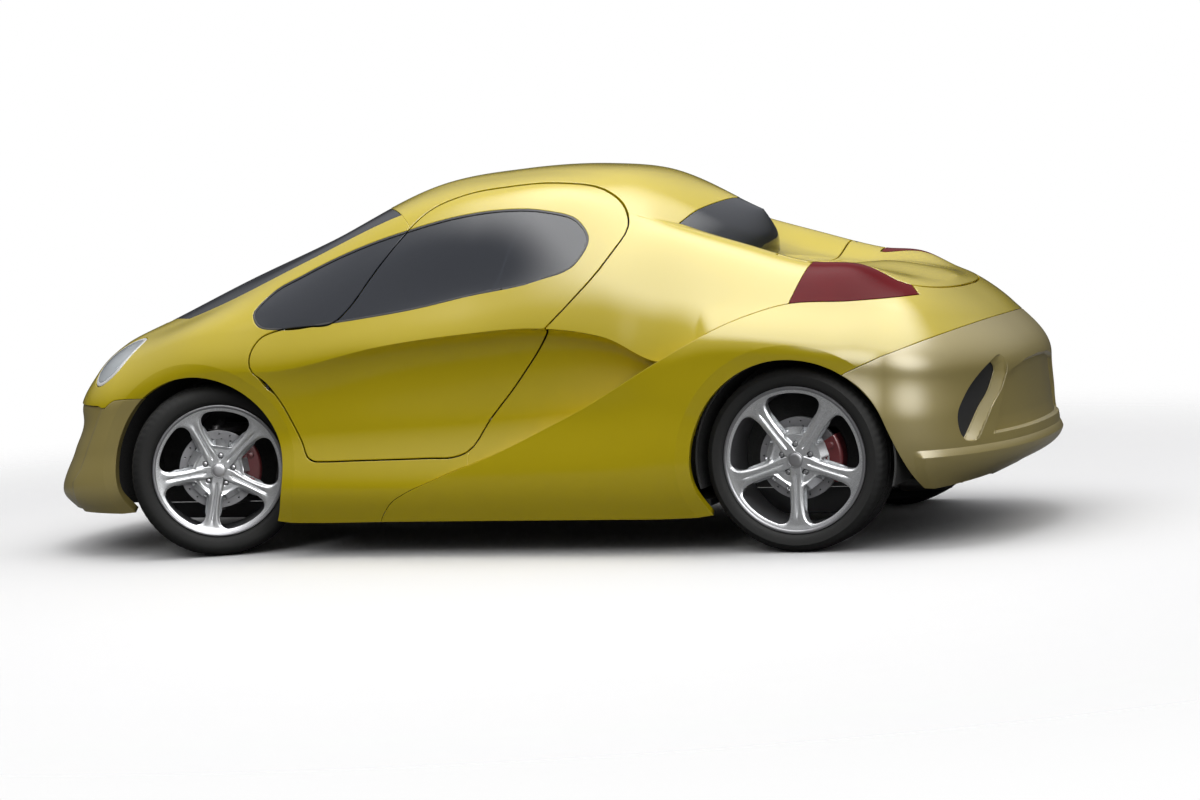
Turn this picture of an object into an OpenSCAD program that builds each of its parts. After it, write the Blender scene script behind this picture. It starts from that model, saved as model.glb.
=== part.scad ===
// Compact two-door concept coupe. Millimetres, X rearward, Y to the car's right, Z up.
// The origin is on the ground under the middle of the car's box.

/* [Overall] */
// Distance between the front and rear axles
wheelbase = 2382; // [2340:1:2420]
// Front axle, measured from the middle of the car
front_axle_x = -1131; // [-1150:1:-1110]
// Thickness of doors, wings and other body walls
wall = 42; // [36:1:48]
// Thickness of all glazing
glass = 8; // [6:1:10]
// Gap around doors and lids
gap = 6; // [5:0.5:8]

/* [Wheels] */
// Outside radius of the front tyres
front_tyre_r = 332; // [326:1:336]
// Outside radius of the rear tyres
rear_tyre_r = 336; // [330:1:340]
// Outside radius of the front rim's lip
front_rim_r = 254; // [248:1:258]
// Outside radius of the rear rim's lip
rear_rim_r = 267; // [260:1:270]
// Width of the tyres
tyre_w = 225; // [205:1:235]
// Middle plane of the wheels, from the centreline
wheel_y = 680; // [672:1:686]
// Radius of the wheel openings in the body
arch_r = 368; // [362:1:374]

/* [Moving parts] */
// Distance of the steering axis inboard of the wheel's middle plane
kingpin_in = 30; // [20:1:40]
// Steered angle at which the front wheels stand
parked_steer = 28; // [0:1:30]

/* [Hidden] */

rear_axle_x = front_axle_x + wheelbase;
front_axle_z = front_tyre_r;
rear_axle_z = rear_tyre_r;

// Stations where the plan shape starts to round off into nose, tail and rear window
nose_cap = -1500;
tail_cap = 1600;
dome_cap = 600;

// Half sections of the body, each line given as [half width, height]
// x,     keel,       sill,       waist,      crease,     belt,        rail,        mid,         crown
STATIONS = [
 [-1500, [740, 165], [800, 235], [808, 420], [800, 600], [715,  742], [500,  842], [280,  885], [0,  912]],
 [-1130, [790, 150], [850, 240], [852, 450], [846, 715], [775,  845], [540,  958], [300, 1035], [0, 1057]],
 [ -750, [795, 130], [852, 235], [812, 480], [830, 716], [772,  868], [548, 1112], [305, 1180], [0, 1203]],
 [ -340, [798, 130], [850, 230], [790, 490], [830, 794], [762,  918], [515, 1278], [290, 1355], [0, 1378]],
 [    0, [800, 130], [852, 228], [780, 500], [830, 831], [752,  972], [520, 1338], [300, 1403], [0, 1424]],
 [  300, [805, 130], [856, 225], [768, 520], [826, 844], [742, 1025], [512, 1342], [290, 1404], [0, 1426]],
 [  560, [808, 130], [860, 222], [752, 540], [816, 803], [725, 1012], [500, 1245], [290, 1350], [0, 1386]],
 [  760, [808, 130], [862, 222], [748, 560], [812, 708], [716,  940], [490, 1182], [262, 1166], [0, 1160]],
 [  980, [805, 140], [862, 230], [858, 500], [846, 742], [730,  912], [490, 1116], [258, 1056], [0, 1040]],
 [ 1250, [780, 170], [850, 250], [866, 500], [856, 730], [718,  893], [516, 1036], [280, 990], [0, 1006]],
 [ 1430, [750, 187], [815, 272], [838, 487], [820, 702], [672,  872], [485, 1014], [258, 986], [0, 1004]],
 [ 1600, [715, 205], [770, 300], [790, 470], [770, 665], [620,  850], [436,  940], [225,  955], [0,  972]]];
// Where each line meets the middle plane at the nose and at the tail, [x, height]
NOSE = [[-1965, 165], [-2000, 215], [-1915, 400], [-1850, 560], [-1775, 690], [-1715, 785], [-1690, 812],
        [-1670, 832]];
TAIL = [[1850, 232], [2000, 330], [1988, 450], [1980, 625], [1848, 800], [1724, 903], [1697, 927],
        [1684, 940]];
// Where rail, mid and crown end behind the cabin, at the rear window
DOME = [[958, 1015], [974, 1118], [935, 1222]];
// How far the body side steps in below the crease, and how far below it
// x,     depth, drop
RECESS = [[-2100, [0, 46]], [-860, [0, 46]], [-700, [12, 22]], [-300, [22, 14]], [0, [32, 12]],
          [300, [48, 12]], [560, [72, 14]], [700, [84, 16]], [800, [60, 20]], [1000, [0, 46]],
          [2100, [0, 46]]];
// The rear wing's own sill, waist, crease and belt half widths, standing proud of the hollow behind the door
// x,     waist, crease, belt
HAUNCH = [[-500, [838, 838, 772]], [0, [846, 850, 772]], [560, [858, 862, 762]], [980, [872, 860, 742]],
          [1250, [874, 864, 728]], [1430, [846, 829, 682]], [1600, [798, 778, 630]]];
// Angle of each line's outward direction above the horizontal
TILT = [-20, 0, 0, 0, 8, 35, 62, 82, 90];
square_plan = 0.86;
nose_slant = 0.5;

function hermite(a, b, ma, mb, s) =
    (2*s*s*s - 3*s*s + 1)*a + (s*s*s - 2*s*s + s)*ma + (3*s*s - 2*s*s*s)*b + (s*s*s - s*s)*mb;
function row_at(t, x, i = 0) = i >= len(t) - 2 || x < t[i + 1][0] ? i : row_at(t, x, i + 1);
function slope(t, i) =
    let (a = max(i - 1, 0), b = min(i + 1, len(t) - 1)) (t[b][1] - t[a][1])/(t[b][0] - t[a][0]);
// Smooth curve through the rows [x, value] of a table
function along(t, x) =
    let (i = row_at(t, x), h = t[i + 1][0] - t[i][0], s = (x - t[i][0])/h)
    hermite(t[i][1], t[i + 1][1], h*slope(t, i), h*slope(t, i + 1), s);

function under(crease, x) = let (r = along(RECESS, x)) [crease[0] - r[0], crease[1] - r[1]];
function proud(k, x, p) =
    let (h = along(HAUNCH, x)) k == 2 ? [h[0], p[1]] : k == 3 ? [h[1], p[1]] : k == 4 ? [h[2], p[1]] : p;
// One long line of the body from nose to tail, as a table of [x, [half width, height]]
function ended(rows, first, last) =
    concat([[first[0], [rows[0][1][0], first[1]]]], rows, [[last[0], [rows[len(rows) - 1][1][0], last[1]]]]);
function body_line(k, haunch) =
    ended([for (r = STATIONS) [r[0], haunch && r[0] > -500 ? proud(k, r[0], r[k + 1]) : r[k + 1]]],
          NOSE[k], TAIL[k]);
function dome_line(k) =
    ended([for (r = STATIONS) if (r[0] <= dome_cap) [r[0], r[k + 1]]], NOSE[k], DOME[k - 5]);
function under_line(line, haunch) =
    [for (r = line) [r[0], haunch ? [r[1][0] + 2, r[1][1] - 46] : under(r[1], r[0])]];
function nine(lines, haunch) =
    [lines[0], lines[1], lines[2], under_line(lines[3], haunch), lines[3], lines[4], lines[5], lines[6],
     lines[7]];
BODY = nine([for (k = [0:7]) body_line(k, false)], false);
HIPS = nine([for (k = [0:7]) body_line(k, true)], true);
CABIN = nine([for (k = [0:7]) k < 5 ? body_line(k, false) : dome_line(k)], false);

// u runs from nose (0) through the long middle (1 to 2) to the tail (3)
function tail_start(lines) = lines == CABIN ? dome_cap : tail_cap;
function u_at(x, lines = BODY) = 1 + (x - nose_cap)/(tail_start(lines) - nose_cap);
function line_point(line, u, stern) =
    let (first = line[0][0], last = line[len(line) - 1][0],
         x = u < 1 ? nose_cap - (nose_cap - first)*cos(90*u)
           : u > 2 ? stern + (last - stern)*cos(90*(3 - u)) : nose_cap + (stern - nose_cap)*(u - 1),
         round_off = u < 1 ? pow(sin(90*u), square_plan) : u > 2 ? pow(sin(90*(3 - u)), square_plan) : 1,
         p = along(line, x))
    [x, p[0]*round_off, p[1]];
function section(lines, u) = let (s = tail_start(lines)) [for (l = lines) line_point(l, u, s)];
function chord(p, k) = max(norm(p[k + 1] - p[k]), 0.01);
function tangent(p, k) =
    k == 0 ? (p[1] - p[0])/chord(p, 0)
    : k == len(p) - 1 ? [0, -p[k - 1][1], 0]/chord(p, k - 1)
    : let (a = chord(p, k - 1), b = chord(p, k)) ((p[k + 1] - p[k])*a/b + (p[k] - p[k - 1])*b/a)/(a + b);
// Point of a section at t, which counts its lines from keel (0) to crown (8)
function cross_at(p, t) =
    let (k = min(floor(t), len(p) - 2), h = chord(p, k))
    hermite(p[k], p[k + 1], h*tangent(p, k), h*tangent(p, k + 1), t - k);
function outward(u, t) =
    let (k = min(floor(t), 7), a = TILT[k] + (TILT[k + 1] - TILT[k])*(t - k),
         turn = u < 1 ? [-cos(90*u), nose_slant*sin(90*u)]
              : u > 2 ? [cos(90*(3 - u)), nose_slant*sin(90*(3 - u))] : [0, 1],
         plan = turn/norm(turn))
    [cos(a)*plan[0], cos(a)*plan[1], sin(a)];
function left_u(u) = u < 0 ? -u : u > 3 ? 6 - u : u;
// Rows of points of a skin, at a depth under the outer surface
function skin_rows(lines, us, ts, depth) =
    [for (u = us) let (p = section(lines, left_u(u)), flip = u < 0 || u > 3)
        [for (t = ts) let (right = flip || t > 8, v = t > 8 ? 16 - t : t,
                           q = cross_at(p, v) - depth*outward(left_u(u), v))
            [q[0], right ? q[1] : -q[1], q[2]]]];
function flat(rows) = [for (r = rows) for (p = r) p];

// A curved wall between two depths of one skin
module slab(lines, us, ts, outer, inner) {
    n = len(us);
    m = len(ts);
    points = concat(flat(skin_rows(lines, us, ts, outer)), flat(skin_rows(lines, us, ts, inner)));
    under = n*m;
    faces = concat(
        [for (i = [0:n - 2], j = [0:m - 2]) each [
            [i*m + j, i*m + j + 1, (i + 1)*m + j + 1], [i*m + j, (i + 1)*m + j + 1, (i + 1)*m + j],
            [under + i*m + j, under + (i + 1)*m + j + 1, under + i*m + j + 1],
            [under + i*m + j, under + (i + 1)*m + j, under + (i + 1)*m + j + 1]]],
        [for (i = [0:n - 2]) each [
            [i*m, (i + 1)*m, under + (i + 1)*m], [i*m, under + (i + 1)*m, under + i*m],
            [(i + 1)*m + m - 1, i*m + m - 1, under + i*m + m - 1],
            [(i + 1)*m + m - 1, under + i*m + m - 1, under + (i + 1)*m + m - 1]]],
        [for (j = [0:m - 2]) each [
            [j + 1, j, under + j], [j + 1, under + j, under + j + 1],
            [(n - 1)*m + j, (n - 1)*m + j + 1, under + (n - 1)*m + j + 1],
            [(n - 1)*m + j, under + (n - 1)*m + j + 1, under + (n - 1)*m + j]]]);
    polyhedron(points, faces);
}

// Side-view outlines as [x, height], taken round in order
DOOR = [[-287, 1222], [-400, 1075], [-516, 912], [-548, 886], [-655, 876], [-780, 864], [-846, 838],
        [-878, 780], [-874, 724], [-819, 670], [-771, 603], [-723, 515], [-682, 435], [-656, 382], [-620, 367],
        [-360, 369], [-60, 374], [-10, 390], [75, 505], [164, 613], [248, 727], [330, 837], [410, 921],
        [544, 1092], [583, 1195], [550, 1262], [451, 1334], [282, 1367], [80, 1362], [-93, 1338], [-222, 1285]];
WINDOW = [[-903, 928], [-860, 996], [-727, 1068], [-500, 1160], [-292, 1219], [-63, 1266], [100, 1280],
          [276, 1269], [406, 1227], [459, 1153], [420, 1065], [293, 1017], [-5, 965], [-207, 927], [-434, 897],
          [-553, 884], [-773, 866], [-870, 884]];
// Leading edge and top edge of the rear wing, then round below the car
WING = [[-400, 100], [-372, 150], [-301, 219], [-114, 300], [101, 379], [304, 468], [507, 563], [759, 702],
        [935, 794], [1077, 855], [1243, 897], [1444, 895], [1657, 900], [2200, 925]];
// Top edge of the rear bumper
BUMPER = [[1300, 560], [1400, 612], [1475, 651], [1584, 698], [1742, 753], [1848, 789], [1900, 803],
          [2100, 825]];
// Top edge of the front bumper, with its small notch at the side
NOTCH = [[-2300, 594], [-1565, 594], [-1552, 586], [-1532, 586], [-1513, 602], [-1490, 616], [-1430, 620],
         [-1200, 620]];
bonnet_half = 370;
// Outline of the corner vents, across the corner and up
VENT = [[664, 475], [708, 542], [769, 597], [857, 646], [935, 664], [967, 628], [928, 556], [851, 492],
        [792, 426], [740, 377], [690, 385]];
vent_turn = 39.7;
// Sunk field between the vents, [half width, height]
FIELD = [[500, 392], [352, 600], [180, 632]];

function near_tangent(p, a, b, c) =
    let (l = max(norm(p[b] - p[a]), 0.01), m = max(norm(p[c] - p[b]), 0.01))
    ((p[c] - p[b])*l/m + (p[b] - p[a])*m/l)/(l + m);
// Smooth closed curve through an outline's points
function loop(p, n = 4) =
    [for (i = [0:len(p) - 1], s = [0:n - 1])
        let (m = len(p), b = (i + 1) % m, h = norm(p[b] - p[i]))
        hermite(p[i], p[b], h*near_tangent(p, (i + m - 1) % m, i, b),
                h*near_tangent(p, i, b, (i + 2) % m), s/n)];
function curve(p, n = 2) =
    let (m = n*(len(p) - 1), run = p[len(p) - 1][0] - p[0][0])
    [for (i = [0:m]) let (x = p[0][0] + run*i/m) [x, along(p, x)]];
// Edge that bows along the car from its middle to its ends
function bow(mid, end, half, y, power = 2) = mid + (end - mid)*pow(abs(y)/half, power);
function us_between(x0, x1, n, lines = BODY) = [for (i = [0:n]) u_at(x0 + (x1 - x0)*i/n, lines)];
function steps(a, b, n) = [for (i = [0:n]) a + (b - a)*i/n];

// A panel keeps the facets of its own skin
module panel() resize([0, 0, 0]) children();
// Side-view outline drawn out over the left half of the car
module side_cut() rotate([90, 0, 0]) linear_extrude(1100) children();
module door_shape(grow = 0) offset(delta = grow) polygon(loop(DOOR, 2));
module window_shape(grow = 0) offset(delta = grow) polygon(loop(WINDOW, 3));
// Wider seam where the door's edge passes its hinge pin
module hinge_pocket() translate([-818, 664]) rotate(-51) scale([1, 0.2]) circle(45, $fn = 48);
// Rear tip of the tail lamps
lamp_rear = 1684;
module below_wing() {
    polygon(concat(curve(WING), [[2200, -100], [-400, -100]]));
    polygon([[lamp_rear, 880], [lamp_rear - 76, 946], [lamp_rear - 100, 1300], [2300, 1300], [2300, 880]]);
}
module below_notch() polygon(concat(NOTCH, [[-1200, -100], [-2300, -100]]));
module below_bumper() polygon(concat(BUMPER, [[2100, -100], [1300, -100]]));
module arch_holes() {
    translate([front_axle_x, front_axle_z]) circle(arch_r, $fn = 72);
    translate([rear_axle_x, rear_axle_z]) circle(arch_r, $fn = 72);
    polygon([[rear_axle_x + 250, 0], [rear_axle_x + 460, 180], [rear_axle_x + 330, 500], [rear_axle_x, 400]]);
}
// Ground plan between two bowed edges
module plan_between(mid0, end0, mid1, end1, half, power0 = 2, power1 = 2)
    translate([0, 0, 500]) linear_extrude(1200)
        polygon(concat([for (i = [-20:20]) [bow(mid0, end0, half, i*half/16, power0), i*half/16]],
                       [for (i = [-20:20]) [bow(mid1, end1, half, -i*half/16, power1), -i*half/16]]));
screen_foot = [-1566, -1284];
// Open slot between the bonnet and the windscreen's foot
cowl_gap = 32;
roof_front = [-560, -345];
roof_rear = [830, 692];
// The roof's rear edge runs out straighter than its front
roof_rear_power = 1.15;
cabin_half = 520;

paint = [0.93, 0.78, 0.05];
bumper_tan = [0.62, 0.55, 0.38];
tint = [0.15, 0.18, 0.22];
// Lines along which the skins are sampled
function side_ts(a, b) = concat([a], [for (t = [0.5:0.5:7.5]) if (t > a + 0.05 && t < b - 0.05) t], [b]);
DOME_US = concat([u_at(560, CABIN)], steps(2, 3, 11));
module both_halves() { children(); mirror([0, 1, 0]) children(); }
module roof_plan() intersection() {
    plan_between(roof_front[0], roof_front[1], roof_rear[0], roof_rear[1], cabin_half, 2, roof_rear_power);
    translate([-1000, -700, 1130]) cube([2500, 1400, 600]);
}
// Left half of the solid under the cabin's dome
module dome_fill() {
    ts = side_ts(6, 8);
    rows = skin_rows(CABIN, concat(us_between(420, dome_cap, 2, CABIN), steps(2.09, 3, 10)), ts, 0);
    n = len(rows);
    m = len(ts);
    top = flat(rows);
    low = [for (p = top) [p[0], p[1], 500]];
    d = n*m;
    polyhedron(concat(top, low), concat(
        [for (i = [0:n - 2], j = [0:m - 2]) each [
            [i*m + j, i*m + j + 1, (i + 1)*m + j + 1], [i*m + j, (i + 1)*m + j + 1, (i + 1)*m + j],
            [d + i*m + j, d + (i + 1)*m + j + 1, d + i*m + j + 1],
            [d + i*m + j, d + (i + 1)*m + j, d + (i + 1)*m + j + 1]]],
        [for (i = [0:n - 2]) each [[i*m, (i + 1)*m, d + (i + 1)*m], [i*m, d + (i + 1)*m, d + i*m],
            [(i + 1)*m + m - 1, i*m + m - 1, d + i*m + m - 1],
            [(i + 1)*m + m - 1, d + i*m + m - 1, d + (i + 1)*m + m - 1]]],
        [for (j = [0:m - 2]) each [[j + 1, j, d + j], [j + 1, d + j, d + j + 1],
            [(n - 1)*m + j, (n - 1)*m + j + 1, d + (n - 1)*m + j + 1],
            [(n - 1)*m + j, d + (n - 1)*m + j + 1, d + (n - 1)*m + j]]]));
}
// Running bores round the hinge pins
module pin_bores() both_halves() {
    translate(door_pin) pin_bore(door_pin_h + 2);
    translate([bonnet_pin[0], -420, bonnet_pin[1]]) rotate([-90, 0, 0]) pin_bore(92);
    translate([lid_pin[0], -545, lid_pin[1]]) rotate([-90, 0, 0]) pin_bore(77);
}
module pin_bore(h) cylinder(h = h, r = 7.05/cos(180/48), $fn = 48);
module lamp_bore() translate([-1530, -632, 752]) rotate([0, 40, 216]) rotate([0, 0, 23.7])
    scale([145/88, 1, 1]) cylinder(h = 400, r = 88, center = true, $fn = 40);
module beside_bonnet() translate([-2200, -bonnet_half - gap, 500]) cube([900, 1000, 600]);
NOSE_US = concat(steps(0.28, 0.88, 5), us_between(-1500, -1270, 2, CABIN));
WING_US = concat([u_at(-1270, CABIN)], us_between(-1155, 0, 10, CABIN));
// Left half of the windscreen's hole in the wings' top, between its foot and the rail line
module screen_hole() translate([0, 0, 500]) linear_extrude(1200) polygon(concat(
    [for (y = [-100:20:cabin_half]) [bow(screen_foot[0], screen_foot[1], cabin_half, y), -y]],
    [for (x = [-1300:50:-1200]) [x, -along(CABIN[6], x)[0]]],
    [[-1200, 100]]));

module front_wings() color(paint) both_halves() panel() difference() {
    union() {
        slab(CABIN, NOSE_US, side_ts(0, 8), 0, wall);
        slab(CABIN, WING_US, side_ts(0, 6), 0, wall);
    }
    screen_hole();
    side_cut() {
        below_wing();
        door_shape(gap/2);
        hinge_pocket();
        window_shape();
        arch_holes();
        below_notch();
    }
    lamp_bore();
    beside_bonnet();
    roof_plan();
}
module headlamps() color([0.85, 0.87, 0.9]) both_halves() panel() difference() {
    intersection() {
        slab(CABIN, NOSE_US, side_ts(4, 8), 0, wall);
        lamp_bore();
    }
    beside_bonnet();
}
module roof() color(paint) panel() both_halves() difference() {
    intersection() {
        union() {
            slab(CABIN, us_between(-640, 560, 10, CABIN), side_ts(5, 8), 0, 34);
            slab(CABIN, DOME_US, side_ts(6, 8), 0, 34);
        }
        roof_plan();
    }
    side_cut() {
        door_shape(gap/2);
        window_shape();
    }
}
module windscreen() color(tint) panel() both_halves() intersection() {
    slab(CABIN, concat(steps(0.2, 0.9, 5), us_between(-1500, -300, 9, CABIN)), side_ts(6, 8), 0, glass);
    plan_between(screen_foot[0], screen_foot[1], roof_front[0], roof_front[1], cabin_half);
}
module backlight() color(tint) panel() both_halves() intersection() {
    slab(CABIN, DOME_US, side_ts(6, 8), 0, glass);
    plan_between(roof_rear[0], roof_rear[1], 1300, 1300, cabin_half, roof_rear_power);
}
module bonnet() color(paint) panel() difference() {
    both_halves() intersection() {
        slab(CABIN, concat(steps(0, 0.9, 7), us_between(-1500, -1270, 2, CABIN)), side_ts(3.5, 8), 0, 28);
        plan_between(-2300, -2300, screen_foot[0] - cowl_gap, screen_foot[1] - cowl_gap, cabin_half);
        translate([-2300, -bonnet_half, NOTCH[0][1] + gap]) cube([1300, 2*bonnet_half, 900]);
    }
    pin_bores();
}
DOOR_US = us_between(-960, dome_cap, 13, CABIN);
door_skin = 6;
// The thick part of a door stays clear of the rear edge, which swings back as it opens
module door_core() intersection() {
    door_shape(-gap/2 - 6);
    translate([-20, 0]) door_shape(-gap/2 - 6);
}
module door_panel() panel() difference() {
    union() {
        intersection() {
            slab(CABIN, DOOR_US, side_ts(1, 6.5), 0, door_skin);
            side_cut() door_shape(-gap/2);
        }
        intersection() {
            slab(CABIN, DOOR_US, side_ts(1, 6.5), door_skin - 1, wall);
            side_cut() door_core();
        }
    }
    side_cut() window_shape();
    pin_bores();
}
module door_pane() panel() intersection() {
    slab(CABIN, DOOR_US, side_ts(4.5, 6), 3, 3 + glass);
    side_cut() intersection() {
        window_shape();
        door_shape(-gap/2);
        translate([-570, 0]) square(2000);
    }
}
module door_left() color(paint) door_panel();
module door_right() color(paint) mirror([0, 1, 0]) door_panel();
module door_glass_left() color(tint) door_pane();
module door_glass_right() color(tint) mirror([0, 1, 0]) door_pane();
module quarter_lights() color(tint) both_halves() panel() intersection() {
    slab(CABIN, us_between(-960, -200, 7, CABIN), side_ts(4.5, 6), 3, 3 + glass);
    side_cut() difference() {
        window_shape();
        door_shape(gap/2);
    }
}
module lamp_region() polygon([[1236, 885], [1275, 1034], [1285, 1200], [lamp_rear, 1200], [lamp_rear, 860]]);
module quarter_panels() color(paint) both_halves() panel() difference() {
    slab(BODY, us_between(0, 1330, 13), side_ts(1, 6), 0, wall);
    side_cut() {
        below_wing();
        door_shape(gap/2);
        lamp_region();
    }
    lid_room();
}
module tail_lamps() color([0.5, 0.08, 0.08]) both_halves() panel() difference() {
    intersection() {
        slab(BODY, concat(us_between(1180, 1600, 5), steps(2.12, 2.8, 5)), side_ts(4.5, 7), 0, wall);
        side_cut() lamp_region();
    }
    side_cut() below_wing();
    lid_room();
}
TAIL_US = steps(2.12, 3, 8);
scoop_wall = 140;
module rear_clip() color(paint) panel() both_halves() difference() {
    union() {
        slab(HIPS, us_between(-450, 900, 10), side_ts(0, 5), 0, scoop_wall);
        slab(HIPS, concat(us_between(900, 1600, 7), TAIL_US), side_ts(0, 6), 0, wall);
    }
    side_cut() {
        difference() {
            translate([-1000, -100]) square([3300, 1500]);
            below_wing();
        }
        below_bumper();
        arch_holes();
    }
    lid_room();
}
module vent_shape() rotate([0, 0, -vent_turn]) translate([1600, 0, 0]) rotate([90, 0, 90])
    linear_extrude(600) polygon(loop(VENT, 2));
module sunk_field() intersection() {
    slab(HIPS, TAIL_US, side_ts(0, 5.5), -5, 16);
    translate([1700, 0, 0]) rotate([90, 0, 90]) linear_extrude(400)
        polygon(concat([for (p = FIELD) [-p[0], p[1]]], [[20, FIELD[2][1] + 6], [20, FIELD[0][1]]]));
}
module rear_bumper() color(bumper_tan) panel() difference() {
    both_halves() difference() {
        slab(HIPS, concat(us_between(1300, 1600, 4), TAIL_US), side_ts(0, 5.5), 0, wall);
        side_cut() {
            arch_holes();
            difference() {
                translate([1000, -100]) square([1300, 1500]);
                below_bumper();
            }
        }
        vent_shape();
        sunk_field();
    }
    translate([1850, -tow_y, tow_z - 40]) rotate([0, 90, 0]) cylinder(h = 300, r = 16, $fn = 24);
}
module corner_vents() color([0.1, 0.1, 0.1]) both_halves() panel() intersection() {
    slab(HIPS, concat([u_at(1550), 2], TAIL_US), side_ts(0, 5.5), 25, wall);
    vent_shape();
}
module front_bumper() color(bumper_tan) panel() difference() {
    both_halves() difference() {
        slab(BODY, concat(steps(0, 0.9, 8), us_between(-1500, -1200, 3)), side_ts(0, 4.5), 0, wall);
        side_cut() {
            arch_holes();
            difference() {
                translate([-2300, 0]) square([1100, 1000]);
                below_notch();
            }
        }
    }
    translate([-2100, -tow_y, tow_z]) rotate([0, 90, 0]) cylinder(h = 300, r = 16, $fn = 24);
}
module deck_half() slab(BODY, concat(us_between(600, 1600, 10), TAIL_US), side_ts(6, 8), 0, 26);
module rear_deck() color(paint) panel() both_halves() difference() {
    deck_half();
    translate([lid_front, -1000, 0]) cube([1500, 2000, 1500]);
    dome_fill();
}
lid_front = 1135;
// Ground plan of the deck inside the shoulder ridges
module deck_plan() {
    rows = skin_rows(BODY, concat(us_between(900, 1600, 10), TAIL_US), [6], 0);
    ridge = [for (r = rows) [r[0][0], r[0][1]]];
    polygon(concat(ridge, [for (i = [len(ridge) - 1:-1:0]) [ridge[i][0], -ridge[i][1]]]));
}
// Strip inside each ridge that the tail lamps wrap over
module lamp_flank() polygon([[1275, -700], [1275, -415], [1590, -445], [1590, -700]]);
module lid_plan() difference() {
    deck_plan();
    lamp_flank();
    mirror([0, 1]) lamp_flank();
}
// Upright edge that the panels beside the lid end in
module lid_room() translate([0, 0, 500]) linear_extrude(1000) offset(delta = -1) lid_plan();
module boot_lid() color(paint) panel() difference() {
    intersection() {
        both_halves() deck_half();
        linear_extrude(1500) offset(delta = -gap) lid_plan();
        translate([lid_front + gap, -1000, 0]) cube([1500, 2000, 1500]);
    }
    pin_bores();
}

// Wheels are drawn round their own centre, with Y outward
module turned() rotate([90, 0, 0]) mirror([0, 0, 1]) rotate_extrude($fn = 96) children();
module tyre(r, rim_r) color([0.08, 0.08, 0.08]) turned() {
    w = tyre_w/2;
    polygon([[rim_r - 16, w - 17], [rim_r, w - 17], [rim_r + 4, w - 9], [rim_r + 22, w - 2],
             [(r + rim_r)/2 + 8, w], [r - 22, w - 5], [r - 8, w - 17], [r - 1, w - 40], [r, w - 70],
             [r, 70 - w], [r - 1, 40 - w], [r - 8, 17 - w], [r - 22, 5 - w], [(r + rim_r)/2 + 8, -w],
             [rim_r + 22, 2 - w], [rim_r + 4, 9 - w], [rim_r, 17 - w], [rim_r - 16, 17 - w],
             [rim_r - 16, 34 - w], [rim_r + 8, 26 - w], [r - 30, 20 - w], [r - 14, 50 - w],
             [r - 14, w - 50], [r - 30, w - 20], [rim_r + 8, w - 26], [rim_r - 16, w - 34]]);
}
spindle_r = 30;
hub_y = 58;
spoke_n = 5;
// How far the front wheels have rolled from a spoke straight down
front_turn = 11;
// Spokes and wheel bolts start from straight down, turned by an angle about the axle
module round_axle(turn, shift) for (i = [0:spoke_n - 1])
    rotate([0, 90 + turn + 360*(i + shift)/spoke_n, 0]) children();
module rim(rim_r, turn = 0) color([0.78, 0.79, 0.8]) difference() {
    w = tyre_w/2;
    union() {
        turned() polygon([[rim_r - 24, 9 - w], [rim_r, 9 - w], [rim_r, 17 - w], [rim_r - 16, 17 - w],
                          [rim_r - 16, w - 17], [rim_r, w - 17], [rim_r, w - 9], [rim_r - 24, w - 9]]);
        turned() polygon([[spindle_r + 0.05, hub_y], [78, hub_y], [78, hub_y + 22], [40, hub_y + 28],
                          [40, hub_y + 34], [spindle_r + 0.05, hub_y + 34]]);
        round_axle(turn, 0) translate([0, hub_y + 4, 0]) rotate([-90, 0, 0]) linear_extrude(30)
            polygon([[60, -30], [110, -22], [170, -24], [rim_r - 45, -34], [rim_r - 21, -46],
                     [rim_r - 21, 46], [rim_r - 45, 34], [170, 24], [110, 22], [60, 30]]);
    }
    round_axle(turn, 0.5) translate([57, 0, 0]) rotate([-90, 0, 0]) cylinder(h = 200, r = 10, $fn = 32);
}
module disc(r) color([0.6, 0.6, 0.62]) turned()
    polygon([[spindle_r + 0.05, hub_y - 8], [72, hub_y - 8], [72, 24], [95, 24], [95, 8], [r, 8], [r, 30],
             [80, 30], [80, hub_y], [spindle_r + 0.05, hub_y]]);
module caliper() color([0.55, 0.1, 0.1]) rotate([90, 0, 0]) mirror([0, 0, 1]) rotate([0, 0, -32])
    rotate_extrude(angle = 64, $fn = 96) polygon([[100, -20], [168, -20], [168, 54], [100, 54], [100, 35.5],
        [156, 35.5], [156, 2.5], [100, 2.5]]);
module knuckle() color([0.35, 0.36, 0.38]) {
    rotate([-90, 0, 0]) cylinder(h = hub_y + 30, r = spindle_r, $fn = 64);
    translate([-45, -60, -110]) cube([90, 58, 220]);
    translate([40, -45, -35]) cube([80, 25, 70]);
    translate([0, -kingpin_in, -165]) cylinder(h = 330, r = 16, $fn = 48);
}
module at_wheel(x, z, side) translate([x, side*wheel_y, z]) mirror([0, side < 0 ? 1 : 0, 0]) children();
module steered(side) translate([front_axle_x, side*(wheel_y - kingpin_in), front_axle_z])
    rotate([0, 0, parked_steer]) mirror([0, side < 0 ? 1 : 0, 0]) translate([0, kingpin_in, 0]) children();
module tyre_front_left() steered(-1) tyre(front_tyre_r, front_rim_r);
module tyre_front_right() steered(1) tyre(front_tyre_r, front_rim_r);
module tyre_rear_left() at_wheel(rear_axle_x, rear_axle_z, -1) tyre(rear_tyre_r, rear_rim_r);
module tyre_rear_right() at_wheel(rear_axle_x, rear_axle_z, 1) tyre(rear_tyre_r, rear_rim_r);
module rim_front_left() steered(-1) rim(front_rim_r, front_turn);
module rim_front_right() steered(1) rim(front_rim_r, front_turn);
module rim_rear_left() at_wheel(rear_axle_x, rear_axle_z, -1) rim(rear_rim_r);
module rim_rear_right() at_wheel(rear_axle_x, rear_axle_z, 1) rim(rear_rim_r);
module disc_front_left() steered(-1) disc(150);
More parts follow.
